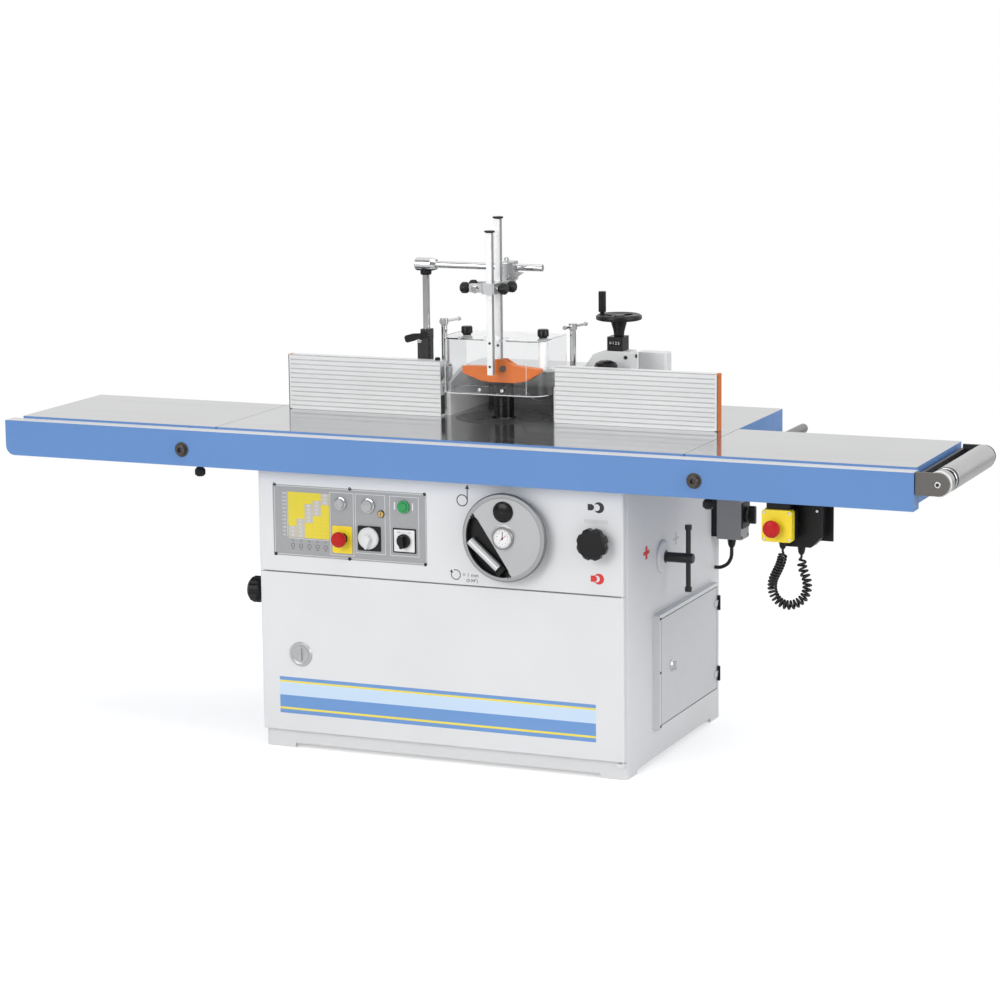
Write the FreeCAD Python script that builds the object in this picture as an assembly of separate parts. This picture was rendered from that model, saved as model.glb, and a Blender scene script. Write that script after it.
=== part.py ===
"""Spindle moulder: floor-standing woodworking machine, one solid per piece.

Machine coordinates in millimetres: X to the operator's right from the spindle axis,
Y away from the operator from the face of the front rail, Z up from the floor.
Every solid is shifted once, at export, so that the origin is under the middle of the machine.
"""
import FreeCAD, Part
import math
import os

# Table and rail
TABLE_TOP = 850.0
TABLE_DEPTH = 100.0
TABLE_HALF_WIDTH = 650.0
TABLE_FRONT = 46.0
TABLE_REAR = 833.0
TABLE_PLATE = 20.0
TABLE_BOSS_RISE = 20.0
TABLE_RIBS_X = (-505.0, -370.0, -235.0, 0.0, 235.0, 352.0, 470.0)
TABLE_RIBS_Y = (100.0, 255.0, 645.0, 745.0)
EXTENSION_REAR = 461.0
EXTENSION_DEPTH = 90.0
LEFT_EXTENSION_END = -1236.0
RIGHT_EXTENSION_END = 1240.0
RAIL_LEFT = -1264.0
RAIL_RIGHT = 1246.0
RAIL_TOP = 844.0
RAIL_BOTTOM = 750.0
RAIL_WALL = 5.0
RAIL_LOCK_X = (-686.0, 723.0)
RAIL_LOCK_Y = 20.0

# Cabinet, its front panel and its door
CABINET_X = (-532.0, 492.0)
CABINET_Y = (63.0, 778.0)
CABINET_TOP = 750.0
CABINET_WALL = 5.0
CABINET_CORNER = 14.0
FOOT_HEIGHT = 12.0
FOOT_NOTCH_X = (-445.0, 419.0)
FOOT_NOTCH_Y = (136.0, 698.0)
PANEL_X = (-532.0, 489.0)
PANEL_Z = (478.0, 750.0)
PANEL_FACE = 49.0
DOOR_Z = (50.0, 474.0)
DOOR_BACK = 61.0
SHEET = 2.0
SHEET_BEND = 6.0
DOOR_HINGE_XY = (484.0, 54.0)
HINGE_PIN_R = 2.0
RUNNING_GAP = 0.05
DOOR_LOCK_XZ = (-417.0, 258.0)
DOOR_OPENING_X = (-500.0, 466.0)
DOOR_OPENING_Z = (66.0, 460.0)

# Spindle, its lift and its drive
SPINDLE_Y = 450.0
SPINDLE_R = 15.0
SPINDLE_TOP = 985.0
SPACER_R = 26.0
SPACER_HEIGHTS = (30.0, 25.0, 20.0, 16.0, 12.0)
RING_OUTER_R = 130.0
RING_SPLIT_R = 75.0
RING_INNER_R = 34.0
COLUMN_X = 150.0
COLUMN_R = 18.0
MOTOR_X = -330.0
MOTOR_R = 85.0
MOTOR_SHAFT_R = 12.0
BELT_Z = (420.0, 440.0)
SPINDLE_PULLEY_R = 45.0
MOTOR_PULLEY_R = 62.0
SCREW_Y = 330.0
SCREW_R = 10.0

# Controls on the front
HANDWHEEL_XZ = (179.0, 614.0)
HANDWHEEL_R = 114.0
HANDWHEEL_Y = (12.0, 28.0)
LOCK_KNOB_XZ = (418.0, 613.0)
CONTROL_X = (-493.0, -45.0)
CONTROL_Z = (516.0, 712.0)

# Right side: belt tension handle, electrical enclosure, switch box
TENSION_YZ = (320.0, 531.0)
ENCLOSURE_Y = (248.0, 704.0)
ENCLOSURE_Z = (88.0, 390.0)
ENCLOSURE_FACE = 512.0
ENCLOSURE_BORDER = 11.0
ENCLOSURE_HINGE_XY = (517.0, 697.0)
SIDE_KNOB_YZ = (80.0, 417.0)
SWITCH_BOX_X = (509.0, 577.0)
SWITCH_BOX_Y = (700.0, 766.0)
SWITCH_BOX_Z = (508.0, 640.0)

# Boxes under the right end of the rail
STATION_X = (863.0, 940.0)
STATION_Y = (12.0, 34.0)
STATION_Z = (652.0, 731.0)
STATION_BUTTON_FRONT = -18.0
JUNCTION_X = (899.0, 994.0)
JUNCTION_Y = (78.0, 124.0)
JUNCTION_Z = (630.0, 735.0)

# Fences, hood, guard
FENCE_FACE = 400.0
FENCE_THICKNESS = 30.0
FENCE_TOP = 999.0
LEFT_FENCE_X = (-613.0, -163.0)
RIGHT_FENCE_X = (165.0, 615.0)
FENCE_GROOVES = 12
HOOD_WALL_X = (148.5, 160.0)
HOOD_REAR = 700.0
HOOD_TOP = 972.0
PORT_R = 50.0
PORT_Z = 908.0
GUARD_HALF_WIDTH = 147.0
GUARD_FRONT = 355.0
GUARD_REAR = 530.0
GUARD_Z = (922.0, 1069.0)
GUARD_CORNER = 44.0
GUARD_WALL = 4.0
CLAMP_SCREW_X = 185.0
CLAMP_SCREW_Y = 480.0
CARRIER_X = (206.0, 342.0)
CARRIER_Y = (430.4, 486.0)
CARRIER_TOP = 975.0
HOUSING_Y = (520.0, 570.0)
HOUSING_RIGHT = 333.0
HOUSING_TOP = 1029.0
FENCE_WHEEL_XY = (288.0, 550.0)
FENCE_WHEEL_Z = 1116.0
FENCE_WHEEL_R = 61.0
COUNTER_TOP = 1066.0

# Pressure holder
POST_XY = (-225.0, 455.0)
POST_R = 9.3
ARM_Z = 1250.0
ARM_END_X = 111.0
HOLDER_X = 10.0
FRONT_BAR_Y = 340.0
REAR_BAR_Y = 396.0
BAR_HALF = 8.0
CLAMP_Z = (1191.0, 1219.0)

# Outboard roller
ROLLER_X = 1303.0
ROLLER_R = 31.0
ROLLER_Y = (14.0, 440.0)
ROLLER_ARM_Y = ((52.0, 64.0), (430.0, 442.0))

# Curly cord between the emergency stop and the junction box
WIRE_R = 3.0
CURL_R = 9.5
CURL_COUNT = 32

ORIGIN_SHIFT = FreeCAD.Vector(
    -(RAIL_LEFT + ROLLER_X + ROLLER_R) / 2.0,
    -(STATION_BUTTON_FRONT + TABLE_REAR) / 2.0,
    0.0,
)

X_AXIS = FreeCAD.Vector(1, 0, 0)
Y_AXIS = FreeCAD.Vector(0, 1, 0)
Z_AXIS = FreeCAD.Vector(0, 0, 1)


def point(x, y, z):
    return FreeCAD.Vector(x, y, z)


def block(x, y, z):
    """Box between the two ends given on each axis."""
    return Part.makeBox(x[1] - x[0], y[1] - y[0], z[1] - z[0], point(x[0], y[0], z[0]))


def edges_along(shape, axis):
    """Straight edges of a shape that run along an axis."""
    found = []
    for edge in shape.Edges:
        if abs(abs(edge.tangentAt(edge.FirstParameter).dot(axis)) - 1.0) < 1e-6:
            found.append(edge)
    return found


def soft_block(x, y, z, radius, axis=Z_AXIS):
    """Box with its four edges along one axis rounded."""
    shape = block(x, y, z)
    return shape.makeFillet(radius, edges_along(shape, axis))


def rod(start, axis, radius, length):
    return Part.makeCylinder(radius, length, start, axis)


def tube(start, axis, outer, inner, length):
    return rod(start, axis, outer, length).cut(rod(start, axis, inner, length))


def joined(first, *others):
    return first.multiFuse(list(others)).removeSplitter()


def without(shape, *tools):
    for tool in tools:
        shape = shape.cut(tool)
    return shape


def group(*shapes):
    """Separate solids kept together as one node."""
    return Part.makeCompound([solid for shape in shapes for solid in shape.Solids])


def stand(shape, at, axis):
    """Move a shape made along +Z to a point, pointing along an axis."""
    placed = shape.copy()
    placed.Placement = FreeCAD.Placement(at, FreeCAD.Rotation(Z_AXIS, axis))
    return placed


def turned(profile, at, axis):
    """Revolve (radius, height) points about an axis that starts at a point."""
    corners = [point(radius, 0, height) for radius, height in profile]
    face = Part.Face(Part.makePolygon(corners + corners[:1]))
    return stand(face.revolve(point(0, 0, 0), Z_AXIS, 360), at, axis)


def prism(corners, along):
    """Extrude a flat polygon."""
    return Part.Face(Part.makePolygon(corners + corners[:1])).extrude(along)


def lobed_knob(radius, lobes, thickness, at, axis):
    """Hand knob: a domed disc with scallops between its lobes."""
    dome = 0.22 * thickness
    profile = [
        (0, 0),
        (0.62 * radius, 0),
        (radius, 0.3 * thickness),
        (radius, thickness - dome),
        (radius - dome, thickness),
        (0, thickness),
    ]
    knob = turned(profile, point(0, 0, 0), Z_AXIS)
    scallop_r = 0.62 * math.pi * radius / lobes
    for index in range(lobes):
        angle = 2 * math.pi * index / lobes
        reach = radius + 0.55 * scallop_r
        centre = point(reach * math.cos(angle), reach * math.sin(angle), -1)
        knob = knob.cut(rod(centre, Z_AXIS, scallop_r, thickness + 2))
    return stand(knob, at, axis)


def front_rounded(x, y, z, radius):
    """Box whose two upright edges at the front are rounded."""
    shape = block(x, y, z)
    front_edges = [edge for edge in edges_along(shape, Z_AXIS) if abs(edge.CenterOfMass.y - y[0]) < 1e-6]
    return shape.makeFillet(radius, front_edges)


def sheet_pan(x, y, z, radius):
    """Folded sheet-metal pan, open at the back."""
    pan = front_rounded(x, y, z, radius)
    hollow_x = (x[0] + SHEET, x[1] - SHEET)
    hollow_z = (z[0] + SHEET, z[1] - SHEET)
    return pan.cut(front_rounded(hollow_x, (y[0] + SHEET, y[1] + 1), hollow_z, radius - SHEET))


def cabinet():
    """Welded sheet-steel cabinet: six sheets on four corner feet, with a doorway and a lower hinge ear."""
    shell = soft_block(CABINET_X, CABINET_Y, (0, CABINET_TOP), CABINET_CORNER)
    inner_x = (CABINET_X[0] + CABINET_WALL, CABINET_X[1] - CABINET_WALL)
    inner_y = (CABINET_Y[0] + CABINET_WALL, CABINET_Y[1] - CABINET_WALL)
    floor = (FOOT_HEIGHT, FOOT_HEIGHT + CABINET_WALL)
    ceiling = (CABINET_TOP - CABINET_WALL, CABINET_TOP)
    past_x = (CABINET_X[0] - 1, CABINET_X[1] + 1)
    past_y = (CABINET_Y[0] - 1, CABINET_Y[1] + 1)
    past_z = (-1, CABINET_TOP + 1)
    front_wall = (CABINET_Y[0] - 1, inner_y[0] + 1)
    right_wall = (inner_x[1] - 1, CABINET_X[1] + 1)
    top_wall = (ceiling[0] - 1, ceiling[1] + 1)
    tray_y = (ENCLOSURE_Y[0] + 13, ENCLOSURE_Y[1] - 13)
    tray_z = (ENCLOSURE_Z[0] + 13, ENCLOSURE_Z[1] - 13)
    shell = without(
        shell,
        block(inner_x, inner_y, (floor[1], ceiling[0])),
        block(inner_x, inner_y, (-1, floor[0])),
        block(FOOT_NOTCH_X, past_y, (-1, FOOT_HEIGHT)),
        block(past_x, FOOT_NOTCH_Y, (-1, FOOT_HEIGHT)),
        soft_block(DOOR_OPENING_X, front_wall, DOOR_OPENING_Z, 12, Y_AXIS),
        block((CONTROL_X[0] + 10, CONTROL_X[1] - 10), front_wall, (CONTROL_Z[0] + 10, CONTROL_Z[1] - 10)),
        block((-215, 215), (240, 660), top_wall),
        rod(point(HANDWHEEL_XZ[0], front_wall[0], HANDWHEEL_XZ[1]), Y_AXIS, 14, 8),
        rod(point(LOCK_KNOB_XZ[0], front_wall[0], LOCK_KNOB_XZ[1]), Y_AXIS, 8, 8),
        rod(point(right_wall[0], *TENSION_YZ), X_AXIS, 13, 8),
        rod(point(past_x[0], *SIDE_KNOB_YZ), X_AXIS, 6.5, 8),
        block(right_wall, tray_y, tray_z),
    )
    ear_top = DOOR_Z[0] - 5
    ear = soft_block((470, 489), (47, CABINET_Y[0] + 4), (ear_top - 9, ear_top), 2)
    pin = rod(point(*DOOR_HINGE_XY, ear_top - 5), Z_AXIS, HINGE_PIN_R, 18)
    front = joined(shell.common(block(past_x, (past_y[0], inner_y[0]), past_z)), ear, pin)
    sheets = [
        shell.common(block(past_x, (inner_y[1], past_y[1]), past_z)),
        shell.common(block((past_x[0], inner_x[0]), inner_y, past_z)),
        shell.common(block((inner_x[1], past_x[1]), inner_y, past_z)),
        shell.common(block(inner_x, inner_y, floor)),
        shell.common(block(inner_x, inner_y, ceiling)),
    ]
    return group(front, *sheets)


def front_panel():
    """Upper front cover, with the control window and the door's upper hinge pin."""
    pan = sheet_pan(PANEL_X, (PANEL_FACE, CABINET_Y[0]), PANEL_Z, SHEET_BEND)
    face = (PANEL_FACE - 1, PANEL_FACE + SHEET + 1)
    window_x = (CONTROL_X[0] + 4, CONTROL_X[1] - 4)
    window_z = (CONTROL_Z[0] + 4, CONTROL_Z[1] - 4)
    pan = without(
        pan,
        soft_block(window_x, face, window_z, 6, Y_AXIS),
        rod(point(HANDWHEEL_XZ[0], face[0], HANDWHEEL_XZ[1]), Y_AXIS, 14, 5),
        rod(point(LOCK_KNOB_XZ[0], face[0], LOCK_KNOB_XZ[1]), Y_AXIS, 8, 5),
    )
    return joined(pan, rod(point(*DOOR_HINGE_XY, DOOR_Z[1] - 8), Z_AXIS, HINGE_PIN_R, 18))


# Places on the control panel, X and Z, with the radius of the piece there
PANEL_ESTOP = (-290.0, 576.0, 20.5)
PANEL_START = (-113.5, 670.0, 16.5)
PANEL_SWITCH = (-212.5, 582.0, 28.5)
PANEL_SELECTOR = (-112.5, 581.0, 18.5)
PANEL_LAMPS = ((-293.0, 668.0, 16.5), (-214.0, 667.0, 18.5))
PANEL_KEY_ROUND = (-178.0, 647.0, 9.5)


def lamp(x, z, radius, face):
    """Round lamp lens standing on a panel, domed towards the operator."""
    profile = [(0, 0), (radius, 0), (radius, 6), (0.8 * radius, 7), (0.72 * radius, 13), (0, 15)]
    return turned(profile, point(x, face, z), -Y_AXIS)


def control_panel():
    """Recessed switch plate with collars for its buttons, and its lamps."""
    face = PANEL_FACE + SHEET
    plate = block(CONTROL_X, (face, face + 3), CONTROL_Z)
    estop_x, estop_z, estop_r = PANEL_ESTOP
    start_x, start_z, start_r = PANEL_START
    plate = joined(
        plate,
        rod(point(estop_x, face - 9, estop_z), Y_AXIS, 0.72 * estop_r, 10),
        rod(point(start_x, face - 6, start_z), Y_AXIS, start_r, 7),
    )
    plate = without(
        plate,
        rod(point(estop_x, face - 20, estop_z), Y_AXIS, 8.3, 40),
        rod(point(start_x, face - 20, start_z), Y_AXIS, 11.3, 40),
        rod(point(PANEL_SWITCH[0], face - 20, PANEL_SWITCH[1]), Y_AXIS, 6.3, 40),
        rod(point(PANEL_SELECTOR[0], face - 20, PANEL_SELECTOR[1]), Y_AXIS, 5.3, 40),
    )
    lamps = [lamp(x, z, radius, face) for x, z, radius in PANEL_LAMPS]
    key_x, key_z, key_r = PANEL_KEY_ROUND
    key_profile = [(0, 0), (key_r, 0), (key_r, 3), (key_r - 2, 5), (0, 5)]
    key_round = turned(key_profile, point(key_x, face, key_z), -Y_AXIS)
    return group(plate, key_round, *lamps)


def mushroom(radius, front_y, neck_y, stem_end_y, x, z, stem_r):
    """Mushroom push button on a straight stem."""
    height = neck_y - front_y
    profile = [
        (0, 0),
        (0.55 * radius, 0.04 * height),
        (0.86 * radius, 0.22 * height),
        (radius, 0.52 * height),
        (radius, 0.72 * height),
        (0.78 * radius, height),
        (stem_r, height),
        (stem_r, stem_end_y - front_y),
        (0, stem_end_y - front_y),
    ]
    return turned(profile, point(x, front_y, z), Y_AXIS)


def panel_estop_button():
    x, z, radius = PANEL_ESTOP
    return mushroom(radius, PANEL_FACE - 37, PANEL_FACE - 13, PANEL_FACE + 24, x, z, 8)


def start_button():
    x, z, _ = PANEL_START
    profile = [(0, 0), (9.5, 0), (11, 1.5), (11, 22), (6, 22), (6, 30), (0, 30)]
    return turned(profile, point(x, PANEL_FACE - 7, z), Y_AXIS)


def main_switch_knob():
    """Round rotary knob with a raised teardrop grip that points down at rest."""
    x, z, radius = PANEL_SWITCH
    back = PANEL_FACE - 3
    disc = turned([(0, 0), (radius, 0), (radius, 5), (radius - 4, 9), (0, 9)], point(x, back, z), -Y_AXIS)
    head = rod(point(x, back - 22, z), Y_AXIS, 11, 14)
    tip_z = z - radius + 3
    flank = 10.3
    shoulder = z - 3.6
    grip = prism(
        [
            point(x - flank, back - 22, shoulder),
            point(x + flank, back - 22, shoulder),
            point(x + 2, back - 22, tip_z),
            point(x - 2, back - 22, tip_z),
        ],
        point(0, 14, 0),
    )
    stem = rod(point(x, back - 1, z), Y_AXIS, 6, 24)
    return joined(disc, head, grip, stem)


def selector_knob():
    """Small selector with a straight bar grip."""
    x, z, radius = PANEL_SELECTOR
    back = PANEL_FACE - 3
    disc = turned([(0, 0), (radius, 0), (radius, 6), (radius - 2, 8), (0, 8)], point(x, back, z), -Y_AXIS)
    grip = soft_block((x - 5, x + 5), (back - 20, back - 7), (z - radius + 1, z + radius - 3), 4, Y_AXIS)
    stem = rod(point(x, back - 1, z), Y_AXIS, 5, 24)
    return joined(disc, grip, stem)


def front_door():
    """Lower front cover, a pan that turns on two upright pins at its right edge."""
    pan = sheet_pan(PANEL_X, (PANEL_FACE, DOOR_BACK), DOOR_Z, SHEET_BEND)
    lock_x, lock_z = DOOR_LOCK_XZ
    return without(
        pan,
        rod(point(*DOOR_HINGE_XY, DOOR_Z[0] - 1), Z_AXIS, HINGE_PIN_R + RUNNING_GAP, SHEET + 2),
        rod(point(*DOOR_HINGE_XY, DOOR_Z[1] - SHEET - 1), Z_AXIS, HINGE_PIN_R + RUNNING_GAP, SHEET + 2),
        rod(point(lock_x, PANEL_FACE - 1, lock_z), Y_AXIS, 11.3, SHEET + 2),
    )


def door_lock():
    """Quarter-turn lock: dished escutcheon, barrel and a tongue that stands upright when open."""
    x, z = DOOR_LOCK_XZ
    dish = [(0, 2), (22, 2), (26, 4), (30, 4), (33, 0), (11, 0), (11, -24), (0, -24)]
    barrel = turned(dish, point(x, PANEL_FACE - 0.3, z), -Y_AXIS)
    grip = soft_block((x - 4, x + 4), (PANEL_FACE - 8, PANEL_FACE - 1), (z - 17, z + 17), 3, Y_AXIS)
    tongue_y = CABINET_Y[0] + CABINET_WALL + 0.6
    tongue = soft_block((x - 10, x + 10), (tongue_y, tongue_y + 3), (z - 12, z + 97), 8, Y_AXIS)
    return joined(barrel, grip, tongue)


def side_clamp_knob():
    """Lobed knob on the left side of the cabinet."""
    y, z = SIDE_KNOB_YZ
    left = CABINET_X[0]
    knob = lobed_knob(35, 7, 38, point(left - 4, y, z), -X_AXIS)
    return joined(knob, rod(point(left - 5, y, z), X_AXIS, 6, 40))


def height_lock_knob():
    """Lobed knob that clamps the spindle height."""
    x, z = LOCK_KNOB_XZ
    knob = lobed_knob(41, 8, 30, point(x, 35, z), -Y_AXIS)
    return joined(knob, rod(point(x, 34, z), Y_AXIS, 7.5, 60))


def tension_handle():
    """Belt tension handle: boss, shaft and a tommy bar with end collars."""
    y, z = TENSION_YZ
    side = CABINET_X[1]
    profile = [
        (0, 0.4),
        (43, 0.4),
        (43, 5),
        (38, 9),
        (19, 10),
        (13, 13),
        (13, 84),
        (11, 86),
        (0, 86),
    ]
    boss = turned(profile, point(side, y, z), X_AXIS)
    inner = rod(point(side - 60, y, z), X_AXIS, 12, 61)
    bar_x = side + 72
    bar = rod(point(bar_x, y, z - 87), Z_AXIS, 6.5, 174)
    collars = [rod(point(bar_x, y, z + end), Z_AXIS, 9, 12) for end in (-87, 75)]
    return joined(boss, inner, bar, *collars)


HINGE_HEIGHTS = (140.0, 335.0)
KNUCKLE_R = 4.0
ENCLOSURE_LOCK_YZ = (341.0, 241.0)


def enclosure_box():
    """Electrical enclosure let into the cabinet side: a frame, a tray and the fixed hinge knuckles."""
    side = CABINET_X[1]
    frame = soft_block((side, ENCLOSURE_FACE), ENCLOSURE_Y, ENCLOSURE_Z, 5, X_AXIS)
    tray_y = (ENCLOSURE_Y[0] + 14, ENCLOSURE_Y[1] - 14)
    tray_z = (ENCLOSURE_Z[0] + 14, ENCLOSURE_Z[1] - 14)
    tray = block((side - 92, side + 1), tray_y, tray_z)
    recess_y = (ENCLOSURE_Y[0] + ENCLOSURE_BORDER, ENCLOSURE_Y[1] - ENCLOSURE_BORDER)
    recess_z = (ENCLOSURE_Z[0] + ENCLOSURE_BORDER, ENCLOSURE_Z[1] - ENCLOSURE_BORDER)
    lock_z = ENCLOSURE_LOCK_YZ[1]
    tongue_slot_y = (ENCLOSURE_Y[0] + 3, tray_y[0] + 3)
    tongue_slot_z = (lock_z - 14, lock_z + 56)
    shell = without(
        joined(frame, tray),
        block((ENCLOSURE_FACE - 8.5, ENCLOSURE_FACE + 1), recess_y, recess_z),
        block(
            (side - 90, ENCLOSURE_FACE - 8),
            (tray_y[0] + SHEET, tray_y[1] - SHEET),
            (tray_z[0] + SHEET, tray_z[1] - SHEET),
        ),
        block((side + 4, side + 8.5), tongue_slot_y, tongue_slot_z),
    )
    hinges = []
    hinge_x, hinge_y = ENCLOSURE_HINGE_XY
    leaf_x = (ENCLOSURE_FACE - 1, hinge_x - 1)
    leaf_y = (hinge_y, ENCLOSURE_Y[1] - 1)
    knuckle = 11.7
    for height in HINGE_HEIGHTS:
        hinges.append(rod(point(hinge_x, hinge_y, height - 20), Z_AXIS, HINGE_PIN_R, 40))
        for low in (height - 20, height + 20 - knuckle):
            hinges.append(rod(point(hinge_x, hinge_y, low), Z_AXIS, KNUCKLE_R, knuckle))
            hinges.append(block(leaf_x, leaf_y, (low, low + knuckle)))
    return joined(shell, *hinges)


def enclosure_door():
    """Inset door of the enclosure, hung on knuckles at its rear edge."""
    margin = ENCLOSURE_BORDER + 1
    y = (ENCLOSURE_Y[0] + margin, ENCLOSURE_Y[1] - margin)
    z = (ENCLOSURE_Z[0] + margin, ENCLOSURE_Z[1] - margin)
    back = ENCLOSURE_FACE - 8
    pan = soft_block((back, ENCLOSURE_FACE), y, z, 3, X_AXIS)
    hollow_y = (y[0] + SHEET, y[1] - SHEET)
    hollow_z = (z[0] + SHEET, z[1] - SHEET)
    pan = pan.cut(block((back - 1, ENCLOSURE_FACE - SHEET), hollow_y, hollow_z))
    hinge_x, hinge_y = ENCLOSURE_HINGE_XY
    knuckle = 16
    leaf_x = (ENCLOSURE_FACE - 1, ENCLOSURE_FACE + 3)
    bend_x = (ENCLOSURE_FACE + 1, ENCLOSURE_FACE + 4)
    pieces = []
    bores = []
    for height in HINGE_HEIGHTS:
        z_range = (height - knuckle / 2, height + knuckle / 2)
        foot = point(hinge_x, hinge_y, z_range[0])
        pieces.append(rod(foot, Z_AXIS, KNUCKLE_R, knuckle))
        pieces.append(block(leaf_x, (hinge_y - 27, hinge_y - 6), z_range))
        pieces.append(block(bend_x, (hinge_y - 9, hinge_y), z_range))
        bores.append(rod(foot - Z_AXIS, Z_AXIS, HINGE_PIN_R + RUNNING_GAP, knuckle + 2))
    door = without(joined(pan, *pieces), *bores)
    lock_y, lock_z = ENCLOSURE_LOCK_YZ
    return door.cut(rod(point(back - 1, lock_y, lock_z), X_AXIS, 9.3, 12))


def enclosure_lock():
    """Quarter-turn lock of the enclosure door, its tongue upright when open."""
    y, z = ENCLOSURE_LOCK_YZ
    profile = [(0, 5), (13, 5), (16, 2), (16, 0.3), (9, 0.3), (9, -15), (0, -15)]
    barrel = turned(profile, point(ENCLOSURE_FACE, y, z), X_AXIS)
    grip_x = (ENCLOSURE_FACE + 4, ENCLOSURE_FACE + 12)
    grip = soft_block(grip_x, (y - 3, y + 3), (z - 12, z + 12), 2.5, X_AXIS)
    tongue_x = CABINET_X[1] + 5
    tongue = soft_block((tongue_x, tongue_x + 2.5), (y - 8, y + 8), (z - 10, z + 86), 6, X_AXIS)
    return joined(barrel, grip, tongue)


def switch_box():
    """Grey main switch box with a raised plate for its rotary handle."""
    box = soft_block(SWITCH_BOX_X, SWITCH_BOX_Y, SWITCH_BOX_Z, 5, X_AXIS)
    y = sum(SWITCH_BOX_Y) / 2
    z = sum(SWITCH_BOX_Z) / 2
    face = SWITCH_BOX_X[1]
    plate = soft_block((face - 1, face + 4), (y - 30, y + 30), (z - 35, z + 35), 4, X_AXIS)
    return joined(box, plate).cut(rod(point(face - 20, y, z), X_AXIS, 5.3, 30))


def isolator_handle():
    """Rotary handle of the switch box."""
    y = sum(SWITCH_BOX_Y) / 2
    z = sum(SWITCH_BOX_Z) / 2
    face = SWITCH_BOX_X[1] + 4.5
    disc = turned([(0, 0), (22, 0), (22, 6), (19, 10), (0, 10)], point(face, y, z), X_AXIS)
    grip = soft_block((face + 9, face + 26), (y - 7, y + 7), (z - 24, z + 24), 5, X_AXIS)
    return joined(disc, grip, rod(point(face - 20, y, z), X_AXIS, 5, 21))


LEAD_R = 5.0
LEAD_ROUTE = (
    (540.0, 733.0, 482.0),
    (540.0, 733.0, 455.0),
    (529.0, 733.0, 434.0),
    (508.0, 733.0, 424.0),
    (492.0, 733.0, 424.0),
)


def arc_between(start, corner, end):
    """Circular arc that leaves the start towards the corner and reaches the end from it."""
    middle = (start + end) * 0.5
    turn = (corner - start).getAngle(end - corner)
    sagitta = math.tan(turn / 4) / math.tan(turn / 2)
    return Part.Arc(start, middle + (corner - middle) * sagitta, end).toShape()


def cord_path(route):
    """Straight runs joined by tangent arcs, each as large as its two runs allow."""
    points = [point(*place) for place in route]
    edges = []
    last = points[0]
    for before, corner, after in zip(points, points[1:], points[2:]):
        reach = 0.45 * min((corner - before).Length, (after - corner).Length)
        turn = (corner - before).getAngle(after - corner)
        print("cord bend radius", round(reach / math.tan(turn / 2), 1))
        start = corner + (before - corner).normalize() * reach
        end = corner + (after - corner).normalize() * reach
        edges.append(Part.LineSegment(last, start).toShape())
        edges.append(arc_between(start, corner, end))
        last = end
    edges.append(Part.LineSegment(last, points[-1]).toShape())
    return Part.Wire(edges)


def sweep_round(path, radius):
    """Round tube swept along a wire."""
    first = path.OrderedEdges[0]
    start = first.valueAt(first.FirstParameter)
    heading = first.tangentAt(first.FirstParameter)
    section = Part.Wire([Part.makeCircle(radius, start, heading)])
    return path.makePipeShell([section], True, False)


def switch_box_lead():
    """Lead from the switch box down into the side of the cabinet."""
    path = cord_path(LEAD_ROUTE)
    lead = sweep_round(path, LEAD_R)
    print("lead volume share", round(lead.Volume / (math.pi * LEAD_R ** 2 * path.Length), 3))
    return lead


def hexagon(radius, at, height):
    """Hexagonal block standing on a point, given by the radius to its corners."""
    corners = []
    for index in range(6):
        angle = math.pi * index / 3
        corners.append(at + point(radius * math.cos(angle), radius * math.sin(angle), 0))
    return prism(corners, point(0, 0, height))


def gland(at, radius, length):
    """Cable gland hanging down from a box: hexagon nut and tapered dome."""
    nut = hexagon(radius, point(0, 0, 0), 0.45 * length)
    profile = [
        (0, 0.4 * length),
        (0.85 * radius, 0.4 * length),
        (0.85 * radius, 0.7 * length),
        (0.55 * radius, length),
        (0, length),
    ]
    dome = turned(profile, point(0, 0, 0), Z_AXIS)
    return stand(joined(nut, dome), at, -Z_AXIS)


STATION_GLAND = (906.0, 47.0)
JUNCTION_GLAND = (937.0, 100.0)
GLAND_LENGTH = 22.0


def box_fittings():
    """Black plates and brackets that carry the boxes, and the cable glands under them."""
    plate_y = (SWITCH_BOX_Y[0] + 4, SWITCH_BOX_Y[1] - 4)
    plate_z = (SWITCH_BOX_Z[0] + 6, SWITCH_BOX_Z[1] - 6)
    switch_plate = block((CABINET_X[1], SWITCH_BOX_X[0]), plate_y, plate_z)
    station_base = soft_block(STATION_X, (STATION_Y[1], STATION_Y[1] + 27), STATION_Z, 5, Y_AXIS)
    bracket_x = (STATION_X[0] + 9, STATION_X[1] - 9)
    station_bracket = block(bracket_x, (22, 45), (STATION_Z[1] - 1, RAIL_BOTTOM))
    station_bracket = station_bracket.cut(block(STATION_X, STATION_Y, STATION_Z))
    plate_x = (JUNCTION_X[0] + 6, JUNCTION_X[1] + 16)
    plate_y = (JUNCTION_Y[1], JUNCTION_Y[1] + 5)
    junction_plate = block(plate_x, plate_y, (JUNCTION_Z[0] + 10, TABLE_TOP - TABLE_PLATE))
    glands = [
        gland(point(*STATION_GLAND, STATION_Z[0]), 10, GLAND_LENGTH),
        gland(point(*JUNCTION_GLAND, JUNCTION_Z[0]), 10, GLAND_LENGTH),
        gland(point(*LEAD_ROUTE[0][:2], SWITCH_BOX_Z[0]), 12, SWITCH_BOX_Z[0] - LEAD_ROUTE[0][2]),
    ]
    return group(switch_plate, joined(station_base, station_bracket), junction_plate, *glands)


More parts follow.
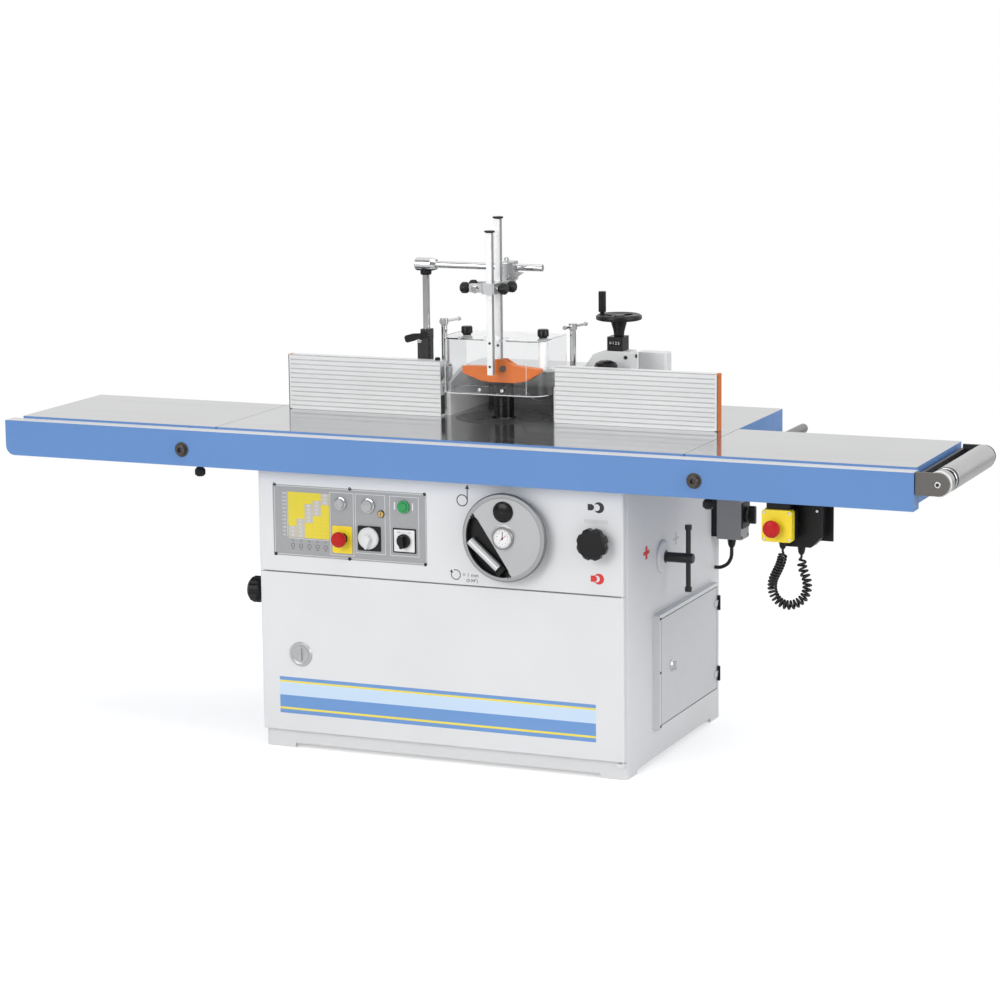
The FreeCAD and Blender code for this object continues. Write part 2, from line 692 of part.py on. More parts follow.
def estop_station_cover():
    """Yellow front half of the emergency-stop station, with a collar for the button."""
    cover = soft_block(STATION_X, STATION_Y, STATION_Z, 7, Y_AXIS)
    x = sum(STATION_X) / 2 - 8
    z = sum(STATION_Z) / 2 - 5
    collar = rod(point(x, STATION_Y[0] - 6, z), Y_AXIS, 15, 7)
    return joined(cover, collar).cut(rod(point(x, STATION_Y[0] - 10, z), Y_AXIS, 8.3, 40))


def station_estop_button():
    x = sum(STATION_X) / 2 - 8
    z = sum(STATION_Z) / 2 - 5
    return mushroom(21.5, STATION_BUTTON_FRONT, STATION_Y[0] - 11, STATION_Y[0] + 16, x, z, 8)


def junction_box():
    """Black junction box with one corner cut off."""
    x0, x1 = JUNCTION_X
    z0, z1 = JUNCTION_Z
    cut = 26
    corners = [(x0, z0), (x1 - cut, z0), (x1, z0 + cut), (x1, z1), (x0, z1)]
    depth = point(0, JUNCTION_Y[1] - JUNCTION_Y[0], 0)
    box = prism([point(x, JUNCTION_Y[0], z) for x, z in corners], depth)
    return box.makeFillet(4, edges_along(box, Y_AXIS))


def main_table():
    """Cast table, ribbed underneath, with a stepped round opening for the rings."""
    bottom = TABLE_TOP - TABLE_DEPTH
    under_plate = TABLE_TOP - TABLE_PLATE
    skirt = 18
    x = (-TABLE_HALF_WIDTH, TABLE_HALF_WIDTH)
    y = (TABLE_FRONT, TABLE_REAR)
    casting = soft_block(x, y, (bottom, TABLE_TOP), 4)
    room_y = (y[0] + skirt, y[1] - skirt)
    room = block((x[0] + skirt, x[1] - skirt), room_y, (bottom - 1, under_plate))
    rib_z = (bottom, under_plate)
    ribs = [block((middle - 8, middle + 8), room_y, rib_z) for middle in TABLE_RIBS_X]
    ribs += [block(x, (middle - 8, middle + 8), rib_z) for middle in TABLE_RIBS_Y]
    centre = point(0, SPINDLE_Y, bottom + TABLE_BOSS_RISE)
    boss = rod(centre, Z_AXIS, 190, under_plate - centre.z)
    casting = casting.cut(without(room, boss, *ribs))
    ledge = 12
    return without(
        casting,
        rod(point(0, SPINDLE_Y, TABLE_TOP - ledge), Z_AXIS, RING_OUTER_R + 0.2, ledge + 1),
        rod(point(0, SPINDLE_Y, bottom - 1), Z_AXIS, RING_OUTER_R - 12, TABLE_DEPTH + 2),
    )


def extension_shell(x):
    """Extension table: a plate with a folded skirt and cross ribs, open underneath."""
    skirt = 5.5
    y = (TABLE_FRONT, EXTENSION_REAR)
    bottom = TABLE_TOP - EXTENSION_DEPTH
    under_plate = TABLE_TOP - TABLE_PLATE
    shell = soft_block(x, y, (bottom, TABLE_TOP), 3)
    room = block((x[0] + 12, x[1] - 12), (y[0] + skirt, y[1] - skirt), (bottom - 1, under_plate))
    third = (x[1] - x[0]) / 3
    for step in (1, 2):
        middle = x[0] + step * third
        room = room.cut(block((middle - 5, middle + 5), y, (bottom + 15, under_plate)))
    return shell.cut(room)


def left_extension_table():
    return extension_shell((LEFT_EXTENSION_END, -TABLE_HALF_WIDTH - 1))


ARM_Z_RANGE = (800.0, 828.0)


def right_extension_table():
    """Right extension, with slots for the two arms of the roller."""
    shell = extension_shell((TABLE_HALF_WIDTH + 1, RIGHT_EXTENSION_END))
    gap = 0.4
    for low, high in ROLLER_ARM_Y:
        slot_z = (ARM_Z_RANGE[0] - gap, ARM_Z_RANGE[1] + gap)
        shell = shell.cut(block((890, RIGHT_EXTENSION_END + 1), (low - gap, high + gap), slot_z))
    return shell


def front_rail():
    """Hollow rail along the front of the tables, rounded at its lower left corner."""
    bar = block((RAIL_LEFT, RAIL_RIGHT), (0, TABLE_FRONT), (RAIL_BOTTOM, RAIL_TOP))
    corner = [
        edge
        for edge in edges_along(bar, Y_AXIS)
        if edge.CenterOfMass.x < 0 and edge.CenterOfMass.z < RAIL_BOTTOM + 1
    ]
    bar = bar.makeFillet(26, corner)
    hollow_y = (RAIL_WALL, TABLE_FRONT - RAIL_WALL)
    hollow_z = (RAIL_BOTTOM + RAIL_WALL, RAIL_TOP - RAIL_WALL)
    bar = bar.cut(block((RAIL_LEFT + 30, RAIL_RIGHT + 1), hollow_y, hollow_z))
    for x in RAIL_LOCK_X:
        bar = bar.cut(rod(point(x, RAIL_LOCK_Y, RAIL_BOTTOM - 1), Z_AXIS, 5.3, RAIL_WALL + 2))
    return bar


def extension_lock(x):
    """Knurled knob under the rail that clamps an extension table."""
    knob = lobed_knob(14, 8, 24, point(x, RAIL_LOCK_Y, RAIL_BOTTOM - 4), -Z_AXIS)
    return joined(knob, rod(point(x, RAIL_LOCK_Y, RAIL_BOTTOM - 5), Z_AXIS, 5, 25))


def table_rings():
    """Two nested rings that step the table opening down to the spindle."""
    low, step, top = TABLE_TOP - 12, TABLE_TOP - 6, TABLE_TOP
    ledge = RING_SPLIT_R - 9
    outer = [
        (ledge, low),
        (RING_OUTER_R, low),
        (RING_OUTER_R, top),
        (RING_SPLIT_R, top),
        (RING_SPLIT_R, step),
        (ledge, step),
    ]
    rim = RING_SPLIT_R - 0.4
    bore = RING_INNER_R
    inner = [(bore, step), (rim, step), (rim, top), (bore + 1, top), (bore, top - 1)]
    centre = point(0, SPINDLE_Y, 0)
    return group(turned(outer, centre, Z_AXIS), turned(inner, centre, Z_AXIS))


def side_guide_rod():
    """Round rod behind the right extension, flanged at its root and rounded at its end."""
    length = 354
    flange = [(0, 0), (22, 0), (22, 8), (13, 10)]
    tip = [(13, length - 10), (10, length - 3), (5, length), (0, length)]
    return turned(flange + tip, point(716, EXTENSION_REAR, 804), Y_AXIS)


GUIDE_BASE_Z = (262.0, 282.0)


def spindle_guide():
    """Two columns under the table, tied at the bottom by a plate that carries the lift screw."""
    foot_z = GUIDE_BASE_Z[0]
    reach = TABLE_TOP - TABLE_DEPTH + TABLE_BOSS_RISE - foot_z
    columns = [rod(point(x, SPINDLE_Y, foot_z), Z_AXIS, COLUMN_R, reach) for x in (-COLUMN_X, COLUMN_X)]
    tie = soft_block((-COLUMN_X - 35, COLUMN_X + 65), (SPINDLE_Y - 35, SPINDLE_Y + 35), GUIDE_BASE_Z, 12)
    foot = soft_block((COLUMN_X - 5, COLUMN_X + 65), (SCREW_Y - 35, SPINDLE_Y + 20), GUIDE_BASE_Z, 12)
    return joined(tie, foot, *columns)


def spindle_carriage():
    """Quill housing with two sleeves on the columns, the motor plate and the lift nut."""
    quill = turned(
        [(0, 484), (66, 484), (66, 500), (60, 506), (60, 760), (48, 772), (48, 785), (0, 785)],
        point(0, SPINDLE_Y, 0),
        Z_AXIS,
    )
    sleeves = [rod(point(x, SPINDLE_Y, 490), Z_AXIS, 32, 200) for x in (-COLUMN_X, COLUMN_X)]
    web = block((-COLUMN_X, COLUMN_X), (SPINDLE_Y - 18, SPINDLE_Y + 18), (510, 670))
    plate = soft_block((MOTOR_X - 95, 60), (SPINDLE_Y - 80, SPINDLE_Y + 80), (468, 484), 20)
    nut_arm = soft_block((155, 203), (SCREW_Y - 24, SPINDLE_Y - 10), (490, 520), 8)
    casting = joined(quill, web, plate, nut_arm, *sleeves)
    bore_r = COLUMN_R + RUNNING_GAP
    bores = [rod(point(x, SPINDLE_Y, 400), Z_AXIS, bore_r, 400) for x in (-COLUMN_X, COLUMN_X)]
    return without(
        casting,
        rod(point(0, SPINDLE_Y, 400), Z_AXIS, SPINDLE_R + RUNNING_GAP, 400),
        rod(point(MOTOR_X, SPINDLE_Y, 400), Z_AXIS, 32, 100),
        rod(point(HANDWHEEL_XZ[0], SCREW_Y, 400), Z_AXIS, SCREW_R + RUNNING_GAP, 200),
        *bores,
    )


def spindle_shaft():
    """Arbor with its pulley below, a shoulder under the rings and a hexagon nut on top."""
    pulley = SPINDLE_PULLEY_R
    profile = [
        (0, 395),
        (SPINDLE_R, 395),
        (SPINDLE_R, 402),
        (pulley + 4, 402),
        (pulley + 4, 410),
        (pulley, 412),
        (pulley, 448),
        (pulley + 4, 450),
        (pulley + 4, 458),
        (SPINDLE_R, 458),
        (SPINDLE_R, 792),
        (24, 792),
        (24, 851.6),
        (SPINDLE_R, 851.6),
        (SPINDLE_R, SPINDLE_TOP - 3),
        (SPINDLE_R - 3, SPINDLE_TOP),
        (0, SPINDLE_TOP),
    ]
    arbor = turned(profile, point(0, SPINDLE_Y, 0), Z_AXIS)
    nut = hexagon(24, point(0, SPINDLE_Y, 852 + sum(SPACER_HEIGHTS)), 18)
    return joined(arbor, nut)


def spacer_rings():
    """Black rings stacked on the arbor between its shoulder and its nut."""
    rings = []
    low = 851.8
    edge = 0.8
    for height in SPACER_HEIGHTS:
        top = low + height
        bore = SPINDLE_R + 0.02
        profile = [
            (bore, low),
            (SPACER_R - edge, low),
            (SPACER_R, low + edge),
            (SPACER_R, top - edge),
            (SPACER_R - edge, top),
            (bore, top),
        ]
        rings.append(turned(profile, point(0, SPINDLE_Y, 0), Z_AXIS))
        low = top
    return group(*rings)


def motor():
    """Finned motor standing on the carriage plate, with its terminal box and end cap."""
    bore = MOTOR_SHAFT_R + RUNNING_GAP
    root = MOTOR_R - 8
    profile = [(bore, 484), (MOTOR_R, 484), (MOTOR_R, 498)]
    fins = 9
    pitch = 15
    for index in range(fins):
        low = 500 + index * pitch
        profile += [(root, low), (root, low + 7), (MOTOR_R, low + 8), (MOTOR_R, low + pitch - 1)]
    cap = 500 + fins * pitch + 4
    profile += [(MOTOR_R - 4, cap), (MOTOR_R - 4, 672), (MOTOR_R - 20, 680), (0, 680), (0, 510), (bore, 510)]
    casing = turned(profile, point(MOTOR_X, SPINDLE_Y, 0), Z_AXIS)
    box_y = SPINDLE_Y + MOTOR_R
    box = soft_block((MOTOR_X - 40, MOTOR_X + 40), (box_y - 12, box_y + 40), (540, 630), 6, Y_AXIS)
    core = rod(point(MOTOR_X, SPINDLE_Y, 520), Z_AXIS, MOTOR_R - 10, 130)
    return joined(casing, box.cut(core))


def motor_pulley():
    """Pulley on the lower end of the motor shaft."""
    rim = MOTOR_PULLEY_R
    shaft = MOTOR_SHAFT_R
    profile = [
        (0, 398),
        (shaft, 398),
        (shaft, 402),
        (rim + 4, 402),
        (rim + 4, 410),
        (rim, 412),
        (rim, 448),
        (rim + 4, 450),
        (rim + 4, 458),
        (shaft, 458),
        (shaft, 508),
        (0, 508),
    ]
    return turned(profile, point(MOTOR_X, SPINDLE_Y, 0), Z_AXIS)


def pulley_wrap(offset, low, high):
    """Solid inside a belt line that runs round both pulleys, some way out from their rims."""
    motor_r = MOTOR_PULLEY_R + offset
    spindle_r = SPINDLE_PULLEY_R + offset
    lean = (spindle_r - motor_r) / MOTOR_X
    side = math.sqrt(1 - lean ** 2)
    corners = [
        point(MOTOR_X + motor_r * lean, SPINDLE_Y - motor_r * side, low),
        point(spindle_r * lean, SPINDLE_Y - spindle_r * side, low),
        point(spindle_r * lean, SPINDLE_Y + spindle_r * side, low),
        point(MOTOR_X + motor_r * lean, SPINDLE_Y + motor_r * side, low),
    ]
    middle = prism(corners, point(0, 0, high - low))
    ends = [
        rod(point(MOTOR_X, SPINDLE_Y, low), Z_AXIS, motor_r, high - low),
        rod(point(0, SPINDLE_Y, low), Z_AXIS, spindle_r, high - low),
    ]
    return joined(middle, *ends)


def drive_belt():
    """Flat belt round the motor and spindle pulleys."""
    play = 0.4
    thickness = 3
    low, high = BELT_Z
    return pulley_wrap(play + thickness, low, high).cut(pulley_wrap(play, low - 1, high + 1))


BEVEL_FAR = 30.0
BEVEL_NEAR = 18.0
BEVEL_PLAY = 0.6


def bevel_gear(at, axis):
    """Bevel gear blank of the height drive, its small end towards the meeting of the two axes."""
    return Part.makeCone(BEVEL_FAR - BEVEL_PLAY, BEVEL_NEAR - BEVEL_PLAY, BEVEL_FAR - BEVEL_NEAR, at, axis)


def lift_screw():
    """Upright screw that lifts the carriage, with the lower bevel gear of the height drive."""
    x, z = HANDWHEEL_XZ
    foot_z = GUIDE_BASE_Z[1]
    screw = rod(point(x, SCREW_Y, foot_z + 0.3), Z_AXIS, SCREW_R, 650 - foot_z)
    return joined(screw, bevel_gear(point(x, SCREW_Y, z - BEVEL_FAR), Z_AXIS))


# Grip pocket in the height handwheel: a segment of the disc cut off by a slanted chord
POCKET_CHORD = 35.0
POCKET_R = 103.0
POCKET_CORNER = 14.0
POCKET_WALL = 2.0
POCKET_SLANT = math.radians(213.3)
OUTWARD = point(math.cos(POCKET_SLANT), 0, math.sin(POCKET_SLANT))
ALONG = point(-OUTWARD.z, 0, OUTWARD.x)
# Grip folded into the pocket: hinge and tip as reach out from the wheel's axis and along the chord
GRIP_HINGE = (55.0, 67.0)
GRIP_TIP = (84.0, -36.0)
GRIP_Y = 18.0
GRIP_R = 10.0
GRIP_PIN_R = 2.5


def wheel_point(out, along, y):
    """Point on the height handwheel: distance out from its axis square to the chord, and along the chord."""
    return point(HANDWHEEL_XZ[0], y, HANDWHEEL_XZ[1]) + OUTWARD * out + ALONG * along


def wheel_segment(inset, y):
    """Segment of a disc on the handwheel's axis beyond the chord, with round ends, drawn in by an inset."""
    far = 2 * POCKET_R
    chord = POCKET_CHORD + inset
    corners = [
        wheel_point(chord, -far, y[0]),
        wheel_point(chord, far, y[0]),
        wheel_point(far, far, y[0]),
        wheel_point(far, -far, y[0]),
    ]
    disc = rod(point(HANDWHEEL_XZ[0], y[0], HANDWHEEL_XZ[1]), Y_AXIS, POCKET_R - inset, y[1] - y[0])
    segment = disc.common(prism(corners, point(0, y[1] - y[0], 0)))
    return segment.makeFillet(POCKET_CORNER - inset, edges_along(segment, Y_AXIS))


def grip_axes():
    """Directions of the folded grip: from its hinge to its tip, and along its cross pin."""
    ahead = (wheel_point(*GRIP_TIP, GRIP_Y) - wheel_point(*GRIP_HINGE, GRIP_Y)).normalize()
    return ahead, Y_AXIS.cross(ahead)


def height_handwheel():
    """Disc handwheel with its gauge, cap and grip pocket, and the shaft to the bevel gear."""
    x, z = HANDWHEEL_XZ
    front, back = HANDWHEEL_Y
    depth = back - front
    rim = HANDWHEEL_R
    profile = [
        (0, 0),
        (rim - 10, 0),
        (rim - 3, 1.5),
        (rim, 5),
        (rim, depth - 5),
        (rim - 3, depth - 1.5),
        (rim - 9, depth),
        (rim - 14, depth - 1.5),
        (34, depth - 1.5),
        (31, depth),
        (0, depth),
    ]
    disc = turned(profile, point(x, back, z), -Y_AXIS)
    disc = disc.cut(wheel_segment(0, (front - 1, back + 1)))
    apex_reach = SCREW_Y - BEVEL_FAR
    shaft = rod(point(x, back - 1, z), Y_AXIS, 10, apex_reach - back + 2)
    wheel = joined(disc, shaft, bevel_gear(point(x, apex_reach, z), Y_AXIS))
    floor = back + 3
    tray = wheel_segment(0, (front + 2, floor + POCKET_WALL))
    tray = tray.cut(wheel_segment(POCKET_WALL, (front, floor)))
    ahead, across = grip_axes()
    hinge = wheel_point(*GRIP_HINGE, GRIP_Y)
    ear_gap, ear_reach = GRIP_R + 1, GRIP_R + 4
    ears = []
    for side in (-1, 1):
        near_end, far_end = hinge + across * side * ear_gap, hinge + across * side * ear_reach
        corners = [near_end - ahead * 6, near_end + ahead * 6, far_end + ahead * 6, far_end - ahead * 6]
        ears.append(prism([corner - Y_AXIS * 5 for corner in corners], Y_AXIS * (floor + 6 - GRIP_Y)))
    pin = rod(hinge - across * (ear_gap + 1), across, GRIP_PIN_R, 2 * ear_gap + 2)
    tray = joined(tray, pin, *ears)
    face = front + 1.5
    gauge_profile = [(0, 0), (29, 0), (29, 5), (27, 8), (24, 8), (24, 6.5), (0, 6.5)]
    gauge = turned(gauge_profile, point(x, front, z), -Y_AXIS)
    cap_profile = [(0, 0), (27, 0), (27, 3), (22, 7), (12, 9.5), (0, 10)]
    cap = turned(cap_profile, point(x, face, z + 67), -Y_AXIS)
    return group(wheel, tray, gauge, cap)


def handwheel_grip():
    """Barrel grip folded into its pocket, turning out on a cross pin."""
    ahead, across = grip_axes()
    hinge = wheel_point(*GRIP_HINGE, GRIP_Y)
    length = (wheel_point(*GRIP_TIP, GRIP_Y) - hinge).Length
    neck = 14
    root = [(0, 0), (6, 0), (6, neck)]
    barrel = [(GRIP_R, neck + 1), (GRIP_R, length - 1), (GRIP_R - 1, length), (0, length)]
    eye = rod(hinge - across * GRIP_R, across, 7.5, 2 * GRIP_R)
    grip = joined(eye, turned(root + barrel, hinge, ahead))
    return grip.cut(rod(hinge - across * (GRIP_R + 1), across, GRIP_PIN_R + RUNNING_GAP, 2 * GRIP_R + 2))


# T-slot in the back of each fence and the bar that rides in it
SLOT_HEAD_Y = (414.0, 421.0)
SLOT_HEAD_Z = (908.0, 932.0)
SLOT_NECK_Z = (914.0, 926.0)
SLOT_PLAY = 0.6
SUPPORT_Z = (862.0, 975.0)


def fence(x, outer_end):
    """Fence: an extrusion with a grooved face and a T-slot in its back, capped at its outer end."""
    back = FENCE_FACE + FENCE_THICKNESS
    low = TABLE_TOP + 0.3
    pitch = (FENCE_TOP - low) / FENCE_GROOVES
    groove = 3.0
    depth = 2.0
    outline = [(back, FENCE_TOP), (back, low)]
    for index in range(FENCE_GROOVES):
        base = low + index * pitch
        outline += [
            (FENCE_FACE, base),
            (FENCE_FACE, base + pitch - groove),
            (FENCE_FACE + depth, base + pitch - 0.8 * groove),
            (FENCE_FACE + depth, base + pitch - 0.2 * groove),
        ]
    outline.append((FENCE_FACE, FENCE_TOP))
    cap_length = 8
    body_x = (x[0] + cap_length, x[1]) if outer_end < 0 else (x[0], x[1] - cap_length)
    cap_x = (x[0], x[0] + cap_length) if outer_end < 0 else (x[1] - cap_length, x[1])
    body = prism([point(body_x[0], y, z) for y, z in outline], point(body_x[1] - body_x[0], 0, 0))
    past = (x[0] - 1, x[1] + 1)
    body = without(
        body,
        block(past, SLOT_HEAD_Y, SLOT_HEAD_Z),
        block(past, (SLOT_HEAD_Y[1] - 1, back + 1), SLOT_NECK_Z),
    )
    cap = soft_block(cap_x, (FENCE_FACE, back), (low, FENCE_TOP), 3, X_AXIS)
    return group(body, cap)


def fence_support(x, z):
    """Block behind a fence with the bar for its T-slot."""
    support = soft_block(x, CARRIER_Y, z, 6)
    head = block(
        x,
        (SLOT_HEAD_Y[0] + SLOT_PLAY, SLOT_HEAD_Y[1] - SLOT_PLAY),
        (SLOT_HEAD_Z[0] + SLOT_PLAY, SLOT_HEAD_Z[1] - SLOT_PLAY),
    )
    neck = block(
        x,
        (SLOT_HEAD_Y[1] - 2 * SLOT_PLAY, CARRIER_Y[0] + 8),
        (SLOT_NECK_Z[0] + SLOT_PLAY, SLOT_NECK_Z[1] - SLOT_PLAY),
    )
    return joined(support, head, neck)


CARRIER_ROD_X = (236.0, 312.0)
CARRIER_ROD_Z = 900.0
CARRIER_ROD_R = 8.0
FENCE_LOCK_XY = (284.0, 463.0)


def infeed_carrier():
    """Slide that moves the right fence to and fro on two rods."""
    carrier = fence_support(CARRIER_X, (TABLE_TOP + 1, CARRIER_TOP))
    rod_y = CARRIER_Y[1] - 5
    rods = [rod(point(x, rod_y, CARRIER_ROD_Z), Y_AXIS, CARRIER_ROD_R, 90) for x in CARRIER_ROD_X]
    carrier = joined(carrier, *rods)
    return carrier.cut(rod(point(*FENCE_LOCK_XY, CARRIER_TOP - 30), Z_AXIS, 6.3, 40))


def fence_lock_knob():
    """Domed knob that clamps the infeed slide."""
    profile = [(0, -25), (6, -25), (6, 8), (24, 10), (31, 16), (31, 24), (26, 32), (14, 37), (0, 38)]
    return turned(profile, point(*FENCE_LOCK_XY, CARRIER_TOP), Z_AXIS)


def fence_drive_housing():
    """Casting behind the infeed slide with bores for its rods, and the position counter on top."""
    left, right = CARRIER_X[0], HOUSING_RIGHT
    low, top = SUPPORT_Z[0], HOUSING_TOP
    shoulder = [(left + 50, top), (left + 20, top - 10), (left, top - 39)]
    corners = [(left, low), (right, low), (right, top)] + shoulder
    depth = HOUSING_Y[1] - HOUSING_Y[0]
    casting = prism([point(x, HOUSING_Y[0], z) for x, z in corners], point(0, depth, 0))
    casting = casting.makeFillet(7, edges_along(casting, Y_AXIS)[2:])
    bore_r = CARRIER_ROD_R + RUNNING_GAP
    bores = [
        rod(point(x, HOUSING_Y[0] - 1, CARRIER_ROD_Z), Y_AXIS, bore_r, depth + 2) for x in CARRIER_ROD_X
    ]
    wheel_x, wheel_y = FENCE_WHEEL_XY
    shaft_bore = rod(point(wheel_x, wheel_y, top - 30), Z_AXIS, 8.3, COUNTER_TOP - top + 31)
    counter = soft_block((wheel_x - 25, wheel_x + 19), (wheel_y - 25, wheel_y + 25), (top, COUNTER_TOP), 3)
    return group(without(casting, shaft_bore, *bores), counter.cut(shaft_bore))


def fence_handwheel():
    """Handwheel over the counter on a tapered hub, with an upright grip on its rim."""
    x, y = FENCE_WHEEL_XY
    rim = FENCE_WHEEL_R
    hub = COUNTER_TOP + 0.5 - FENCE_WHEEL_Z
    profile = [
        (0, hub - 12),
        (8, hub - 12),
        (8, hub),
        (13, hub),
        (15, hub + 14),
        (22, -10),
        (rim - 14, -4),
        (rim - 6, -7),
        (rim - 1, -5),
        (rim, 0),
        (rim - 1, 5),
        (rim - 6, 8),
        (rim - 14, 6),
        (16, 2),
        (12, 6),
        (0, 6),
    ]
    wheel = turned(profile, point(x, y, FENCE_WHEEL_Z), Z_AXIS)
    for index in range(3):
        angle = math.radians(60 + 120 * index)
        reach = 0.52 * rim
        centre = point(x + reach * math.cos(angle), y + reach * math.sin(angle), FENCE_WHEEL_Z - 8)
        wheel = wheel.cut(rod(centre, Z_AXIS, 0.2 * rim, 40))
    grip = [(0, 0), (6, 0), (6, 6), (10, 8), (10, 61), (9, 62), (0, 62)]
    return joined(wheel, turned(grip, point(x - rim + 14, y, FENCE_WHEEL_Z + 5), Z_AXIS))


CLAMP_BOSS_TOP = 975.0
TOMMY_BAR_Z = 1096.0
# Angle from X, and reach before and behind the screw, of the left and right tommy bars
TOMMY_BARS = {-1: (75.0, 14.0, 67.0), 1: (78.0, 40.0, 64.0)}


def fence_hood():
    """Cast hood behind the cutter: base, side walls, roof, extraction port and fence supports."""
    wall_in, wall_out = HOOD_WALL_X
    front = 432
    base = TABLE_TOP
    roof_front = GUARD_REAR + 4
    back = [(HOOD_REAR, base), (HOOD_REAR, HOOD_TOP - 10), (HOOD_REAR - 10, HOOD_TOP), (roof_front, HOOD_TOP)]
    side_outline = [(front, base)] + back + [(front, HOOD_TOP - 34)]
    pieces = []
    for left in (-wall_out, wall_in):
        corners = [point(left, y, z) for y, z in side_outline]
        pieces.append(prism(corners, point(wall_out - wall_in, 0, 0)))
    lining = [
        (roof_front, HOOD_TOP - 8),
        (HOOD_REAR - 16, HOOD_TOP - 8),
        (HOOD_REAR - 10, HOOD_TOP - 14),
        (HOOD_REAR - 10, base),
    ]
    corners = [point(-wall_in - 1, y, z) for y, z in back + lining]
    roof = prism(corners, point(2 * wall_in + 2, 0, 0))
    pieces.append(roof.cut(rod(point(0, HOOD_REAR - 20, PORT_Z), Y_AXIS, PORT_R - 3, 40)))
    pieces.append(tube(point(0, HOOD_REAR - 5, PORT_Z), Y_AXIS, PORT_R, PORT_R - 3, 85))
    wing_z = (base, SUPPORT_Z[0])
    pieces.append(soft_block((wall_out - 2, 420), (HOUSING_Y[0], HOOD_REAR), wing_z, 8))
    pieces.append(soft_block((-420, -wall_out + 2), (CARRIER_Y[0], HOOD_REAR), wing_z, 8))
    pieces.append(fence_support((-CARRIER_X[1], -CARRIER_X[0]), SUPPORT_Z))
    for side in (-1, 1):
        boss_x = side * CLAMP_SCREW_X
        pieces.append(rod(point(boss_x, CLAMP_SCREW_Y, base), Z_AXIS, 17, CLAMP_BOSS_TOP - base))
        web_x = sorted((side * (wall_out - 4), boss_x))
        pieces.append(block(web_x, (CLAMP_SCREW_Y - 7, CLAMP_SCREW_Y + 7), (base, HOOD_TOP - 36)))
    rear_box = soft_block((304, 386), (645, 690), (base + 5, 1012), 8)
    hood = joined(*pieces, rear_box)
    for side in (-1, 1):
        hood = hood.cut(rod(point(side * CLAMP_SCREW_X, CLAMP_SCREW_Y, base - 1), Z_AXIS, 8.4, 200))
    return hood.cut(rod(point(*POST_XY, SUPPORT_Z[1] - 50), Z_AXIS, POST_R + 0.7, 60))


def hood_clamp(side):
    """Clamp screw of the hood with its tommy bar."""
    x = side * CLAMP_SCREW_X
    collar = CLAMP_BOSS_TOP + 1
    shank = [(0, 852), (8, 852), (8, collar), (15, collar), (15, collar + 6), (8, collar + 9)]
    head = [(8, TOMMY_BAR_Z - 10), (11, TOMMY_BAR_Z - 8), (11, TOMMY_BAR_Z + 8), (0, TOMMY_BAR_Z + 8)]
    screw = turned(shank + head, point(x, CLAMP_SCREW_Y, 0), Z_AXIS)
    angle, before, behind = TOMMY_BARS[side]
    heading = point(math.cos(math.radians(angle)), math.sin(math.radians(angle)), 0)
    middle = point(x, CLAMP_SCREW_Y, TOMMY_BAR_Z)
    bar = rod(middle - heading * before, heading, 4, before + behind)
    ends = [rod(middle + heading * end, heading, 5.5, 5) for end in (-before, behind - 5)]
    return joined(screw, bar, *ends)


GUARD_SLOT_X = (-34.0, 39.0)
GUARD_SLOT_Y = (384.0, 408.0)


def clear_guard():
    """Clear cutter guard: a bent front with side walls and a top, slotted for the pressure bar."""
    half = GUARD_HALF_WIDTH
    low, top = GUARD_Z
    outer = front_rounded((-half, half), (GUARD_FRONT, GUARD_REAR), GUARD_Z, GUARD_CORNER)
    inner_half = half - GUARD_WALL
    inner = front_rounded(
        (-inner_half, inner_half),
        (GUARD_FRONT + GUARD_WALL, GUARD_REAR + 1),
        (low - 1, top - GUARD_WALL),
        GUARD_CORNER - GUARD_WALL,
    )
    slot = soft_block(GUARD_SLOT_X, GUARD_SLOT_Y, (top - GUARD_WALL - 1, top + 1), 8)
    return without(outer, inner, slot)


def pressure_bracket():
    """Black block on the left fence support that clamps the post, narrower at its top."""
    x, y = POST_XY
    low = SUPPORT_Z[1]
    depth = (y - 15, y + 15)
    body = soft_block((x - 23, x + 14), depth, (low, 1056), 5)
    neck = soft_block((x - 13, x + 14), depth, (1050, 1077), 3)
    return joined(body, neck).cut(rod(point(x, y, low - 1), Z_AXIS, POST_R + RUNNING_GAP, 110))


LEVER_PIVOT = (-217.0, 439.6, 1066.0)


def pressure_lever():
    """Flat clamp lever on the front of the pressure bracket, pointing left and a little down."""
    pivot = point(*LEVER_PIVOT)
    hub = rod(pivot, -Y_AXIS, 9, 14)
    heading = point(-0.962, 0, -0.273)
    across = point(0.273, 0, -0.962)
    half_widths = ((0, 6), (20, 6), (38, 10), (58, 10), (63, 6))
    near_side = [pivot + heading * along + across * half for along, half in half_widths]
    far_side = [pivot + heading * along - across * half for along, half in reversed(half_widths)]
    arm = prism([corner - Y_AXIS * 12 for corner in near_side + far_side], Y_AXIS * 10)
    return joined(hub, arm)


def pressure_post():
    """Post with a cast elbow as its head, and the arm that carries the clamp."""
    x, y = POST_XY
    low = 986
    post = rod(point(x, y, low), Z_AXIS, POST_R, ARM_Z - low)
    socket = turned([(0, 0), (13, 0), (15, 3), (15, 28), (0, 28)], point(x, y, ARM_Z - 28), Z_AXIS)
    elbow = [(0, 0), (15, 0), (17.5, 3), (17.5, 46), (14, 59), (0, 59)]
    barrel = turned(elbow, point(x - 28, y, ARM_Z), X_AXIS)
    arm = rod(point(x, y, ARM_Z), X_AXIS, POST_R, ARM_END_X - x)
    hollow = rod(point(x - 29, y, ARM_Z), X_AXIS, 6, 9)
    return joined(post, socket, barrel, arm).cut(hollow)


